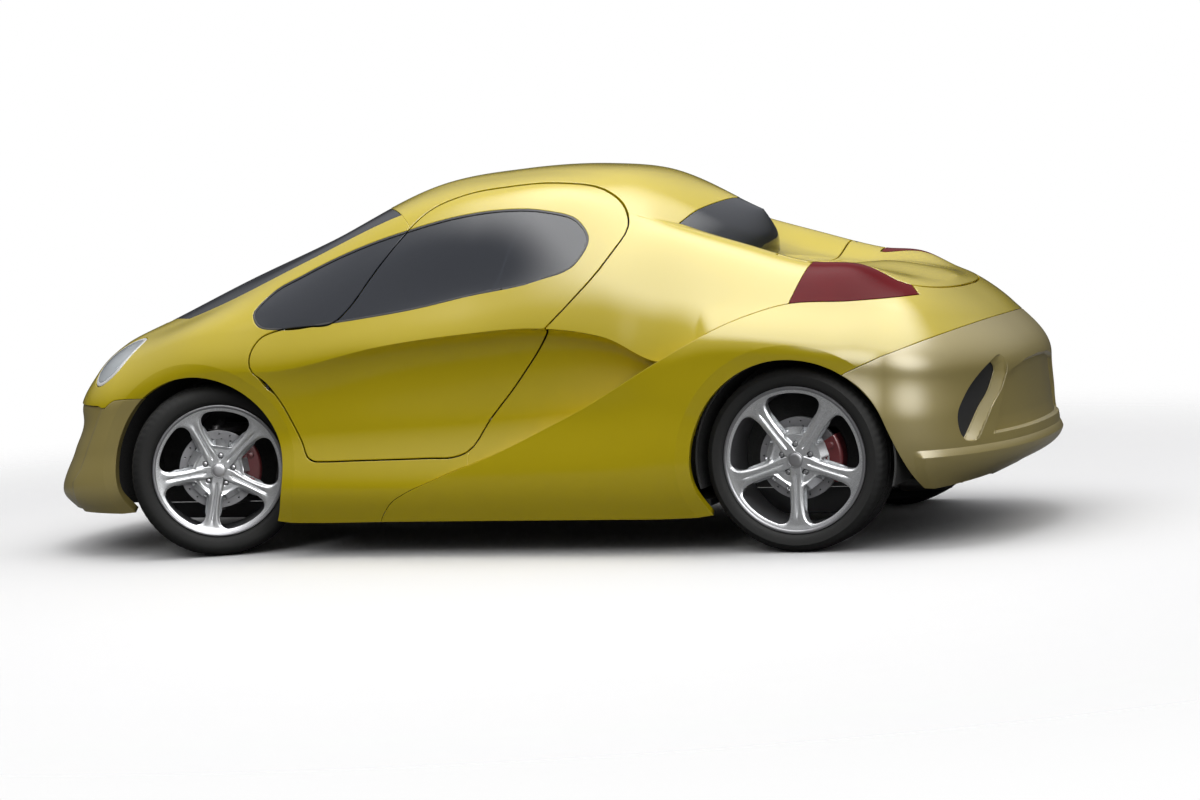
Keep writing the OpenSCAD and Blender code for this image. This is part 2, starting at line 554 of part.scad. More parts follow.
module disc_front_right() steered(1) disc(150);
module disc_rear_left() at_wheel(rear_axle_x, rear_axle_z, -1) disc(150);
module disc_rear_right() at_wheel(rear_axle_x, rear_axle_z, 1) disc(150);
module caliper_front_left() steered(-1) caliper();
module caliper_front_right() steered(1) caliper();
module rear_calipers() both_halves() at_wheel(rear_axle_x, rear_axle_z, -1) caliper();
module knuckle_left() steered(-1) knuckle();
module knuckle_right() steered(1) knuckle();
rail_y = 360;
// Length of the front arms, from the steering axis to the rail
arm_l = wheel_y - kingpin_in - rail_y;
module front_arms() color([0.2, 0.2, 0.2]) both_halves() for (z = [-150, 130])
    translate([front_axle_x, kingpin_in - wheel_y, front_axle_z + z]) difference() {
        union() {
            cylinder(h = 20, r = 30, $fn = 48);
            linear_extrude(20) polygon([[-26, 0], [26, 0], [90, arm_l], [-90, arm_l]]);
        }
        translate([0, 0, -1]) cylinder(h = 22, r = 16.05, $fn = 48);
    }
module rear_axle() color([0.2, 0.2, 0.2]) {
    translate([rear_axle_x, -580, rear_axle_z]) rotate([-90, 0, 0]) cylinder(h = 1160, r = 38, $fn = 48);
    both_halves() {
        translate([rear_axle_x, 500, rear_axle_z]) rotate([-90, 0, 0])
            cylinder(h = wheel_y + hub_y + 30 - 500, r = spindle_r, $fn = 64);
        translate([rear_axle_x - 45, wheel_y - 60, rear_axle_z - 80]) cube([90, 58, 160]);
        translate([rear_axle_x + 40, wheel_y - 45, rear_axle_z - 35]) cube([80, 25, 70]);
        translate([rear_axle_x - 371, 420, rear_axle_z - 60]) cube([401, 60, 70]);
    }
}

floor_z = 165;
floor_t = 24;
boot_floor_z = 430;
// Wheel well: half round shell with an inner wall that leaves room for arms and axle
module wheel_well(x, z, inner, hole) translate([x, 0, z]) rotate([90, 0, 0]) difference() {
    translate([0, 0, inner - 8]) cylinder(h = 780 - inner, r = arch_r + 10, $fn = 96);
    translate([0, 0, inner]) cylinder(h = 900, r = arch_r + 3, $fn = 96);
    cylinder(h = 900, r = hole, $fn = 64);
    translate([-1000, -1100, 0]) cube([2000, 1000, 2000]);
}
tow_y = 250;
tow_z = 470;
module underbody() color([0.12, 0.12, 0.13]) difference() {
    union() {
        translate([-780, -700, floor_z]) cube([1680, 1400, floor_t]);
        translate([-1790, -rail_y, floor_z]) cube([1050, 2*rail_y, floor_t]);
        translate([-1940, -200, floor_z]) cube([200, 400, floor_t]);
        translate([880, -530, 210]) cube([890, 1060, floor_t]);
        translate([1700, -200, 210]) cube([135, 400, floor_t]);
        translate([890, -520, boot_floor_z]) cube([840, 1040, 16]);
        translate([-770, -735, floor_z]) cube([20, 1470, 640]);
        translate([880, -530, floor_z]) cube([20, 1060, 620]);
        translate([-1800, -rail_y, 400]) cube([60, 2*rail_y, 120]);
        translate([1700, -480, 380]) cube([60, 960, 110]);
        translate([1700, -480, 220]) cube([20, 960, 200]);
        both_halves() {
            translate([-760, -812, 205]) cube([360, 112, 125]);
            translate([-760, -760, floor_z]) cube([360, 80, 60]);
            translate([-1790, -rail_y, floor_z]) cube([1030, 45, 245]);
            translate([front_axle_x - 110, -rail_y, 380]) cube([220, 42, 120]);
            wheel_well(front_axle_x, front_axle_z, 400, 240);
            wheel_well(rear_axle_x, rear_axle_z, 538, 130);
            for (x = [-600, 700]) translate([x, -640, 118]) cylinder(h = 60, r = 45, $fn = 48);
        }
        translate([-1835, -tow_y, tow_z]) rotate([0, 90, 0]) cylinder(h = 90, r = 22, $fn = 48);
        translate([1720, -tow_y, tow_z - 40]) rotate([0, 90, 0]) cylinder(h = 90, r = 22, $fn = 48);
    }
    translate([-1836, -tow_y, tow_z]) rotate([0, 90, 0]) cylinder(h = 61, r = 10, $fn = 48);
    translate([1750, -tow_y, tow_z - 40]) rotate([0, 90, 0]) cylinder(h = 61, r = 10, $fn = 48);
}
door_pin = [-815, -812, 625];
door_pin_h = 140;
bonnet_pin = [-1478, 862];
lid_pin = [1157, 1056];
module hinge_pins() color([0.5, 0.5, 0.52]) both_halves() {
    translate(door_pin) cylinder(h = door_pin_h, r = 7, $fn = 48);
    translate([bonnet_pin[0], -420, bonnet_pin[1]]) rotate([-90, 0, 0]) cylinder(h = 90, r = 7, $fn = 48);
    translate([lid_pin[0], -545, lid_pin[1]]) rotate([-90, 0, 0]) cylinder(h = 75, r = 7, $fn = 48);
}
module engine() color([0.3, 0.3, 0.32]) translate([-1560, -300, floor_z + floor_t]) cube([720, 600, 460]);
module exhaust() color([0.5, 0.5, 0.5]) {
    translate([1480, -260, 156]) cube([190, 520, 54]);
    translate([900, 180, 175]) rotate([0, 90, 0]) cylinder(h = 600, r = 30, $fn = 48);
}
seat_z = floor_z + floor_t;
module seat() {
    translate([-180, -235, seat_z]) cube([420, 470, 90]);
    translate([-200, -250, seat_z + 85]) cube([520, 500, 130]);
    translate([300, -245, seat_z + 120]) rotate([0, 20, 0]) cube([120, 490, 620]);
    translate([515, -130, seat_z + 690]) rotate([0, 20, 0]) cube([80, 260, 190]);
}
module front_seats() color([0.2, 0.18, 0.16]) both_halves() translate([0, -370, 0]) seat();
module rear_bench() color([0.2, 0.18, 0.16]) translate([0, -520, seat_z]) {
    translate([560, 0, 0]) cube([320, 1040, 230]);
    translate([760, 0, 180]) cube([120, 1040, 420]);
}
module dashboard() color([0.15, 0.15, 0.16]) translate([-750, -690, 560]) cube([300, 1380, 250]);
module steering_wheel() color([0.1, 0.1, 0.1]) translate([-330, -370, 770]) rotate([0, 65, 0]) {
    rotate_extrude($fn = 64) translate([170, 0]) circle(14, $fn = 24);
    translate([0, 0, -12]) cylinder(h = 24, r = 50, $fn = 32);
    for (a = [0, 120, 240]) rotate([0, 0, a]) translate([30, -14, -6]) cube([135, 28, 12]);
    translate([0, 0, -200]) cylinder(h = 200, r = 22, $fn = 32);
}

underbody();
front_wings();
roof();
quarter_panels();
rear_clip();
rear_deck();
front_bumper();
rear_bumper();
bonnet();
boot_lid();
door_left();
door_right();
windscreen();
quarter_lights();
door_glass_left();
door_glass_right();
backlight();
headlamps();
tail_lamps();
corner_vents();
hinge_pins();
engine();
exhaust();
front_arms();
rear_axle();
knuckle_left();
knuckle_right();
caliper_front_left();
caliper_front_right();
rear_calipers();
tyre_front_left();
tyre_front_right();
tyre_rear_left();
tyre_rear_right();
rim_front_left();
rim_front_right();
rim_rear_left();
rim_rear_right();
disc_front_left();
disc_front_right();
disc_rear_left();
disc_rear_right();
front_seats();
rear_bench();
dashboard();
steering_wheel();
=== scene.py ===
# %% [markdown]
# # A compact two-door concept coupe
# The car is a smooth yellow shell cut into panels, on five-spoke wheels, with a tan bumper at each end.
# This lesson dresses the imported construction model: every piece sits where its solid sits, in metres,
# X rearward, Y to the car's right, Z up.

# %% Load the construction model
import math

import bmesh
import bpy
import numpy as np
from mathutils import Matrix, Vector


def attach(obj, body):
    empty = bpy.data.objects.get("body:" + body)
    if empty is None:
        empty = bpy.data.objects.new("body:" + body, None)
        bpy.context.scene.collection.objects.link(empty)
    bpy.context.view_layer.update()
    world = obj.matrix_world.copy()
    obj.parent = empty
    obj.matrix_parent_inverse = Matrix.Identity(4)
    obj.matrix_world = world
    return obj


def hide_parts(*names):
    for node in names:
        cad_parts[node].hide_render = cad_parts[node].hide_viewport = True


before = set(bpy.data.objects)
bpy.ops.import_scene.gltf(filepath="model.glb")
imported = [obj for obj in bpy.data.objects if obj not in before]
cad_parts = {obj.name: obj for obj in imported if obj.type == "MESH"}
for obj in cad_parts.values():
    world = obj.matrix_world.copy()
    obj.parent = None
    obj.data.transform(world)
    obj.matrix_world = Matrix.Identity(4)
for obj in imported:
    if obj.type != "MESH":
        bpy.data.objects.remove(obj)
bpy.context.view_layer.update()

scene = bpy.context.scene

# %% [markdown]
# ## Camera
# The photograph was taken from behind the car's left side with a long lens, a little above the roof and
# slightly tilted. The view is written as turn, dip and tilt, because those are the three things a
# photographer changes, and the matrix follows from them.

# %% Camera
turn, dip, tilt = (math.radians(a) for a in (20.77, 4.69, -3.18))
ahead = Vector((-math.sin(turn)*math.cos(dip), math.cos(turn)*math.cos(dip), -math.sin(dip)))
level = Vector((math.cos(turn), math.sin(turn), 0))
above = level.cross(ahead)
right = math.cos(tilt)*level + math.sin(tilt)*above
up = math.cos(tilt)*above - math.sin(tilt)*level
lens = bpy.data.cameras.new("photo_camera")
lens.sensor_width = 36
lens.lens = 99.06
lens.clip_end = 200
camera = bpy.data.objects.new("photo_camera", lens)
photo_place = (4.800, -12.069, 1.561)
camera.matrix_world = Matrix.Translation(photo_place) @ Matrix((right, up, -ahead)).transposed().to_4x4()
scene.collection.objects.link(camera)
scene.camera = camera
print("camera at", camera.location[:])

# %% [markdown]
# ## Studio
# Glossy paint shows what stands round it, so the room is one pale sky that is brightest overhead, with a
# large soft lamp above and one beside the camera. Two glowing cards that only reflections see put the broad
# highlights on the roof and the rear corner. The floor and the sky seen directly are plain white.

# %% Studio
def node(tree, kind, **settings):
    made = tree.nodes.new("ShaderNode" + kind)
    for name, value in settings.items():
        setattr(made, name, value)
    return made


def preset(item, **values):
    """Sets the sockets of a node by name, with _ for a blank."""
    for socket, value in values.items():
        item.inputs[socket.replace("_", " ")].default_value = value


def link_nodes(tree, *pairs):
    for a, b in pairs:
        tree.links.new(a, b)


def grey(tone):
    return (tone, tone, tone, 1)


world = bpy.data.worlds.new("studio_sky")
scene.world = world
world.use_nodes = True
sky = world.node_tree
sky.nodes.clear()
direction, height, fade = node(sky, "TexCoord"), node(sky, "SeparateXYZ"), node(sky, "ValToRGB")
for place, tone in ((0.0, 0.16), (0.49, 0.04), (0.58, 0.06), (0.74, 0.50), (0.88, 0.95), (1.0, 1.0)):
    stop = fade.color_ramp.elements.new(place)
    stop.color = (tone, tone, 1.02*tone, 1)
fade.color_ramp.elements.remove(fade.color_ramp.elements[0])
fade.color_ramp.elements.remove(fade.color_ramp.elements[-1])
lift = node(sky, "Math", operation="MULTIPLY_ADD")
lift.inputs[1].default_value = lift.inputs[2].default_value = 0.5
seen, direct = node(sky, "LightPath"), node(sky, "Math", operation="MAXIMUM")
room, white = node(sky, "Background"), node(sky, "Background")
preset(white, Color=grey(1))
choose, end = node(sky, "MixShader"), node(sky, "OutputWorld")
link_nodes(sky, (direction.outputs["Generated"], height.inputs[0]), (height.outputs["Z"], lift.inputs[0]),
           (lift.outputs[0], fade.inputs["Fac"]), (fade.outputs["Color"], room.inputs["Color"]),
           (seen.outputs["Is Camera Ray"], direct.inputs[0]),
           (seen.outputs["Is Transmission Ray"], direct.inputs[1]),
           (direct.outputs[0], choose.inputs["Fac"]), (room.outputs[0], choose.inputs[1]),
           (white.outputs[0], choose.inputs[2]), (choose.outputs[0], end.inputs["Surface"]))


def soft_lamp(name, place, aim, size, watts):
    data = bpy.data.lights.new(name, "AREA")
    data.shape = "RECTANGLE"
    data.size, data.size_y = size
    data.energy = watts
    lamp = bpy.data.objects.new(name, data)
    lamp.location = place
    lamp.rotation_euler = (Vector(aim) - Vector(place)).to_track_quat("-Z", "Y").to_euler()
    lamp.visible_glossy = False
    scene.collection.objects.link(lamp)


soft_lamp("overhead_lamp", (0.3, -0.6, 5.2), (0.1, 0, 0.6), (5.2, 2.6), 92)
soft_lamp("camera_side_lamp", (-0.5, -7.5, 5.0), (0, 0, 0.6), (3.5, 2.2), 62)


def flat_sheet(name, size):
    bm = bmesh.new()
    bmesh.ops.create_grid(bm, x_segments=1, y_segments=1, size=size)
    mesh = bpy.data.meshes.new(name)
    bm.to_mesh(mesh)
    bm.free()
    sheet = bpy.data.objects.new(name, mesh)
    scene.collection.objects.link(sheet)
    return sheet


def fading_material(sheet, name, full, gone):
    """A material that is solid within the radius full and fades out up to the radius gone."""
    mat = bpy.data.materials.new(name)
    mat.use_nodes = True
    tree = mat.node_tree
    shader = tree.nodes["Principled BSDF"]
    at, far = node(tree, "TexCoord"), node(tree, "VectorMath", operation="LENGTH")
    edge = node(tree, "MapRange", interpolation_type="SMOOTHSTEP")
    preset(edge, From_Min=full, From_Max=gone, To_Min=1, To_Max=0)
    link_nodes(tree, (at.outputs["Object"], far.inputs[0]), (far.outputs["Value"], edge.inputs["Value"]),
               (edge.outputs[0], shader.inputs["Alpha"]))
    sheet.data.materials.append(mat)
    return tree, shader


def glow_card(name, place, aim, size, full, gone, strength):
    """A soft patch of bright sky that only glossy surfaces show."""
    card = flat_sheet(name, size)
    card.location = place
    card.rotation_euler = (Vector(aim) - Vector(place)).to_track_quat("Z", "Y").to_euler()
    card.visible_camera = card.visible_diffuse = card.visible_shadow = card.visible_transmission = False
    _, shader = fading_material(card, name, full, gone)
    preset(shader, Base_Color=grey(0), Emission_Color=grey(1), Emission_Strength=strength, Specular_IOR_Level=0)


glow_card("sky_card", (1.2, -1.6, 5.6), (1.2, -1.6, 0), 5.4, 2.2, 5.2, 7.0)
glow_card("rear_corner_card", (5.5, -6.5, 4.6), (1.5, -0.6, 0.6), 6.0, 0.6, 5.6, 9.0)

floor = flat_sheet("floor", 7)
cover, cover_shader = fading_material(floor, "pale_floor", 2.6, 6.0)
preset(cover_shader, Roughness=0.7, Specular_IOR_Level=0.2)
ray = node(cover, "LightPath")
cover_tone, cover_gloss = node(cover, "Mix", data_type="RGBA"), node(cover, "Mix", data_type="RGBA")
cover_tone.inputs[6].default_value = grey(0.90)
cover_tone.inputs[7].default_value = grey(0.22)
cover_gloss.inputs[7].default_value = grey(0.12)
link_nodes(cover, (ray.outputs["Is Diffuse Ray"], cover_tone.inputs[0]),
           (cover_tone.outputs[2], cover_gloss.inputs[6]), (ray.outputs["Is Glossy Ray"], cover_gloss.inputs[0]),
           (cover_gloss.outputs[2], cover_shader.inputs["Base Color"]))
scene.view_settings.view_transform = "Standard"
print("floor and", len(bpy.data.lights), "lamps")

# %% [markdown]
# ## The long lines of the body
# The shell is one skin drawn over nine long lines, from the keel up to the crown. Eight are given by their
# half width and height at twelve stations, and one follows close under the crease of the side. The same short
# tables shape the construction model, so a panel made here lies on its solid. The tables are in millimetres.

# %% Tables of the long lines
NOSE_CAP, TAIL_CAP, DOME_CAP = -1500, 1600, 600
STATIONS = [
    [-1500, [740, 165], [800, 235], [808, 420], [800, 600], [715, 742], [500, 842], [280, 885], [0, 912]],
    [-1130, [790, 150], [850, 240], [852, 450], [846, 715], [775, 845], [540, 958], [300, 1035], [0, 1057]],
    [-750, [795, 130], [852, 235], [812, 480], [830, 716], [772, 868], [548, 1112], [305, 1180], [0, 1203]],
    [-340, [798, 130], [850, 230], [790, 490], [830, 794], [762, 918], [515, 1278], [290, 1355], [0, 1378]],
    [0, [800, 130], [852, 228], [780, 500], [830, 831], [752, 972], [520, 1338], [300, 1403], [0, 1424]],
    [300, [805, 130], [856, 225], [768, 520], [826, 844], [742, 1025], [512, 1342], [290, 1404], [0, 1426]],
    [560, [808, 130], [860, 222], [752, 540], [816, 803], [725, 1012], [500, 1245], [290, 1350], [0, 1386]],
    [760, [808, 130], [862, 222], [748, 560], [812, 708], [716, 940], [490, 1182], [262, 1166], [0, 1160]],
    [980, [805, 140], [862, 230], [858, 500], [846, 742], [730, 912], [490, 1116], [258, 1056], [0, 1040]],
    [1250, [780, 170], [850, 250], [866, 500], [856, 730], [718, 893], [516, 1036], [280, 990], [0, 1006]],
    [1430, [750, 187], [815, 272], [838, 487], [820, 702], [672, 872], [485, 1014], [258, 986], [0, 1004]],
    [1600, [715, 205], [770, 300], [790, 470], [770, 665], [620, 850], [436, 940], [225, 955], [0, 972]]]
NOSE = [[-1965, 165], [-2000, 215], [-1915, 400], [-1850, 560], [-1775, 690], [-1715, 785],
        [-1690, 812], [-1670, 832]]
TAIL = [[1850, 232], [2000, 330], [1988, 450], [1980, 625], [1848, 800], [1724, 903], [1697, 927], [1684, 940]]
DOME = [[958, 1015], [974, 1118], [935, 1222]]
RECESS = [[-2100, [0, 46]], [-860, [0, 46]], [-700, [12, 22]], [-300, [22, 14]], [0, [32, 12]], [300, [48, 12]],
          [560, [72, 14]], [700, [84, 16]], [800, [60, 20]], [1000, [0, 46]], [2100, [0, 46]]]
HAUNCH = [[-500, [838, 838, 772]], [0, [846, 850, 772]], [560, [858, 862, 762]], [980, [872, 860, 742]],
          [1250, [874, 864, 728]], [1430, [846, 829, 682]], [1600, [798, 778, 630]]]
SQUARE_PLAN = 0.86
print(len(STATIONS), "stations")


# %% [markdown]
# ## From lines to a skin
# A line is a smooth curve through its table, and a cross-section is a smooth curve through the nine lines.
# u counts along the car: nose 0 to 1, middle 1 to 2, tail 2 to 3. t counts the lines from keel 0 to crown 8.
# Working on whole arrays at once keeps thousands of points quick.

# %% Skin of the body
def hermite(a, b, ma, mb, s):
    return (2*s**3 - 3*s**2 + 1)*a + (s**3 - 2*s**2 + s)*ma + (3*s**2 - 2*s**3)*b + (s**3 - s**2)*mb


def smooth_table(rows, x):
    """Smooth curve through rows of (x, value), at every x asked for."""
    xs = np.array([r[0] for r in rows], float)
    values = np.array([np.atleast_1d(r[1]) for r in rows], float)
    before = np.maximum(np.arange(len(xs)) - 1, 0)
    after = np.minimum(np.arange(len(xs)) + 1, len(xs) - 1)
    slopes = (values[after] - values[before])/(xs[after] - xs[before])[:, None]
    x = np.asarray(x, float)
    i = np.clip(np.searchsorted(xs, x, side="right") - 1, 0, len(xs) - 2)
    h = (xs[i + 1] - xs[i])[:, None]
    s = ((x - xs[i])/h[:, 0])[:, None]
    return hermite(values[i], values[i + 1], h*slopes[i], h*slopes[i + 1], s)


def body_line(k, haunch):
    rows = []
    for r in STATIONS:
        width, z = r[k + 1]
        if haunch and r[0] > -500 and k in (2, 3, 4):
            width = smooth_table(HAUNCH, [r[0]])[0][k - 2]
        rows.append([r[0], [width, z]])
    return [[NOSE[k][0], [rows[0][1][0], NOSE[k][1]]]] + rows + [[TAIL[k][0], [rows[-1][1][0], TAIL[k][1]]]]


def dome_line(k):
    rows = [[r[0], r[k + 1]] for r in STATIONS if r[0] <= DOME_CAP]
    end_x, end_z = DOME[k - 5]
    return [[NOSE[k][0], [rows[0][1][0], NOSE[k][1]]]] + rows + [[end_x, [rows[-1][1][0], end_z]]]


def nine_lines(eight, haunch):
    crease = eight[3]
    under = []
    for x, (width, z) in crease:
        inset, drop = (-2, 46) if haunch else smooth_table(RECESS, [x])[0]
        under.append([x, [width - inset, z - drop]])
    return eight[:3] + [under] + eight[3:]


BODY = nine_lines([body_line(k, False) for k in range(8)], False)
HIPS = nine_lines([body_line(k, True) for k in range(8)], True)
CABIN = nine_lines([body_line(k, False) if k < 5 else dome_line(k) for k in range(8)], False)


def stern_of(lines):
    return DOME_CAP if lines is CABIN else TAIL_CAP


def skin(lines, u, t):
    """Points of the left half of a skin, in metres."""
    u, t = np.asarray(u, float), np.asarray(t, float)
    stern = stern_of(lines)
    bow, aft = u < 1, u > 2
    nose_angle, tail_angle = np.pi/2*np.clip(u, 0, 1), np.pi/2*np.clip(3 - u, 0, 1)
    plan = np.where(bow, np.sin(nose_angle)**SQUARE_PLAN, np.where(aft, np.sin(tail_angle)**SQUARE_PLAN, 1.0))
    points = []
    for line in lines:
        first, last = line[0][0], line[-1][0]
        x = np.where(bow, NOSE_CAP - (NOSE_CAP - first)*np.cos(nose_angle),
                     np.where(aft, stern + (last - stern)*np.cos(tail_angle),
                              NOSE_CAP + (stern - NOSE_CAP)*(u - 1)))
        value = smooth_table(line, x)
        points.append(np.stack([x, -value[:, 0]*plan, value[:, 1]], 1))
    p = np.stack(points)
    chord = np.maximum(np.linalg.norm(p[1:] - p[:-1], axis=2), 0.01)[:, :, None]
    lean = np.empty_like(p)
    lean[0] = (p[1] - p[0])/chord[0]
    lean[8] = np.stack([0*u, -p[7][:, 1], 0*u], 1)/chord[7]
    a, b = chord[:-1], chord[1:]
    lean[1:8] = ((p[2:] - p[1:-1])*a/b + (p[1:-1] - p[:-2])*b/a)/(a + b)
    step = (0.85*np.clip((np.abs(p[4][:, 1]) - np.abs(p[3][:, 1]))/22, 0, 1))[:, None]
    leaving, reaching = lean.copy(), lean.copy()
    leaving[4] += step*((p[5] - p[4])/chord[4] - lean[4])
    reaching[4] += step*((p[4] - p[3])/chord[3] - lean[4])
    k = np.clip(np.floor(t).astype(int), 0, 7)
    n = np.arange(len(u))
    h = chord[k, n]
    return hermite(p[k, n], p[k + 1, n], h*leaving[k, n], h*reaching[k + 1, n], (t - k)[:, None])*0.001


probe = skin(BODY, [0.0, 1.5, 3.0], [1.0, 4.0, 4.0])
print("nose, side and tail points:", probe.round(3).tolist())


# %% [markdown]
# ## Cutting panels from the skin
# A panel starts as a flat grid in (u, t). Each outline of the car, such as a door seam or a wheel arch, is a
# function that is zero on the seam, and the grid is cut along that line: edges that cross it are split or
# their ends slide onto it. Booleans on the finished shell could do this too, but they leave long thin
# triangles that spoil reflections, while a cut in (u, t) keeps every point on the smooth skin.

# %% Cutting helpers
NEAR, HALVINGS = 0.24, 14


def round_step(x):
    x = np.clip(x, 0, 1)
    return 3*x**2 - 2*x**3


def along_between(lines, x0, x1, cell):
    n = max(2, int(round(abs(x1 - x0)/cell)))
    return list(1 + (np.linspace(x0, x1, n + 1) - NOSE_CAP)/(stern_of(lines) - NOSE_CAP))


def round_end(u0, u1, n):
    return list(np.linspace(u0, u1, n + 1))


def up_between(lines, t0, t1, cell, u=1.5):
    """Values of t about one cell apart, with a point on each long line that is passed."""
    stops = [t0] + [k for k in range(9) if t0 + 1e-6 < k < t1 - 1e-6] + [t1]
    out = [t0]
    for a, b in zip(stops, stops[1:]):
        p = skin(lines, np.full(9, u), np.linspace(a, b, 9))
        run = 1000*np.linalg.norm(np.diff(p, axis=0), axis=1).sum()
        n = max(5 if (a, b) == (3, 4) else 2, int(round(run/cell)))
        out += list(np.linspace(a, b, n + 1)[1:])
    return out


def joined(*runs):
    return sorted(set(round(v, 6) for run in runs for v in run))


def flat_grid(us, ts):
    bm = bmesh.new()
    bmesh.ops.create_grid(bm, x_segments=len(us) - 1, y_segments=len(ts) - 1, size=1)
    for v in bm.verts:
        i = int(round((v.co.x + 1)/2*(len(us) - 1)))
        j = int(round((v.co.y + 1)/2*(len(ts) - 1)))
        v.co = (us[i], ts[j], 0)
    return bm


def flat_places(items):
    return np.array([p[:2] for p in items], float).reshape(-1, 2)


def cut_grid(bm, surface, keep, drop=True):
    """Cuts the grid where keep is zero, and drops what lies where it is negative."""
    verts = list(bm.verts)
    for i, v in enumerate(verts):
        v.index = i
    flat = flat_places([v.co for v in verts])
    value = keep(surface(flat[:, 0], flat[:, 1]), flat[:, 0], flat[:, 1])
    edges = list(bm.edges)
    ends = np.array([[e.verts[0].index, e.verts[1].index] for e in edges])
    cross = np.where(value[ends[:, 0]]*value[ends[:, 1]] < 0)[0]
    a, b = flat[ends[cross, 0]], flat[ends[cross, 1]]
    start = value[ends[cross, 0]]
    low, high = np.zeros(len(cross)), np.ones(len(cross))
    for _ in range(HALVINGS):
        middle = (low + high)/2
        p = a + (b - a)*middle[:, None]
        same = keep(surface(p[:, 0], p[:, 1]), p[:, 0], p[:, 1])*start > 0
        low, high = np.where(same, middle, low), np.where(same, high, middle)
    share = (low + high)/2
    place = a + (b - a)*share[:, None]
    rim = {v.index for v in verts if v.is_boundary}
    slid = {}
    for k, c in enumerate(cross):
        near = 0 if share[k] < NEAR else 1 if share[k] > 1 - NEAR else None
        if near is None:
            continue
        i = ends[c][near]
        if i in rim and not edges[c].is_boundary:
            continue
        away = min(share[k], 1 - share[k])
        if i not in slid or away < slid[i][0]:
            slid[i] = (away, place[k])
    for i, (_, p) in slid.items():
        verts[i].co = (p[0], p[1], 0)
        value[i] = 0
    on_line = [verts[i] for i in slid]
    for k, c in enumerate(cross):
        i, j = ends[c]
        if value[i]*value[j] < 0:
            _, new = bmesh.utils.edge_split(edges[c], verts[i], share[k])
            new.co = (place[k][0], place[k][1], 0)
            on_line.append(new)
    if on_line:
        bmesh.ops.connect_verts(bm, verts=on_line)
    if not drop:
        return
    faces = list(bm.faces)
    mid = flat_places([f.calc_center_median() for f in faces])
    gone = keep(surface(mid[:, 0], mid[:, 1]), mid[:, 0], mid[:, 1]) < 0
    bmesh.ops.delete(bm, geom=[f for f, g in zip(faces, gone) if g], context="FACES")


print("cutting helpers ready")


# %% [markdown]
# ## Folding the panel edges
# Pressed panels end in a small rounded fold, and that fold is what draws the dark shut lines. The border of
# a cut panel is pulled in by the fold's radius and extruded round it, then down as a flange, and an inner
# skin closes the panel. Each corner gets the direction of the true curved skin as its normal, so the
# reflections are those of the smooth surface and not of its facets.

# %% Folded panels
OUTER, FOLD, FLANGE, INNER = range(4)


def directions(surface, u, t, u_end=3.0, t_end=8.0, h=1e-3):
    du = surface(np.minimum(u + h, u_end), t) - surface(np.maximum(u - h, 0), t)
    dt = surface(u, np.minimum(t + h, t_end)) - surface(u, np.maximum(t - h, 0))
    n = np.cross(du, dt)
    return n/np.maximum(np.linalg.norm(n, axis=1), 1e-12)[:, None]


def sunk(surface, depth):
    return lambda u, t: surface(u, t) - depth*directions(surface, u, t)


def raised(surface, relief):
    """The surface moved along its normal by relief(points), in metres."""
    def moved(u, t):
        p = surface(u, t)
        return p + relief(p)[:, None]*directions(surface, u, t)
    return moved


def crisp_corners(bm, surface, flat, layer):
    """Normals taken just inside each face, so that a scored line stays a sharp line."""
    loops = [(l, f) for f in bm.faces for l in f.loops]
    middle = {f: np.mean([flat[v.index] for v in f.verts], axis=0) for f in bm.faces}
    own = np.array([flat[l.vert.index] for l, _ in loops])
    near = own + 0.08*(np.array([middle[f] for _, f in loops]) - own)
    for (l, _), n in zip(loops, directions(surface, near[:, 0], near[:, 1], h=4e-5)):
        l[layer] = n


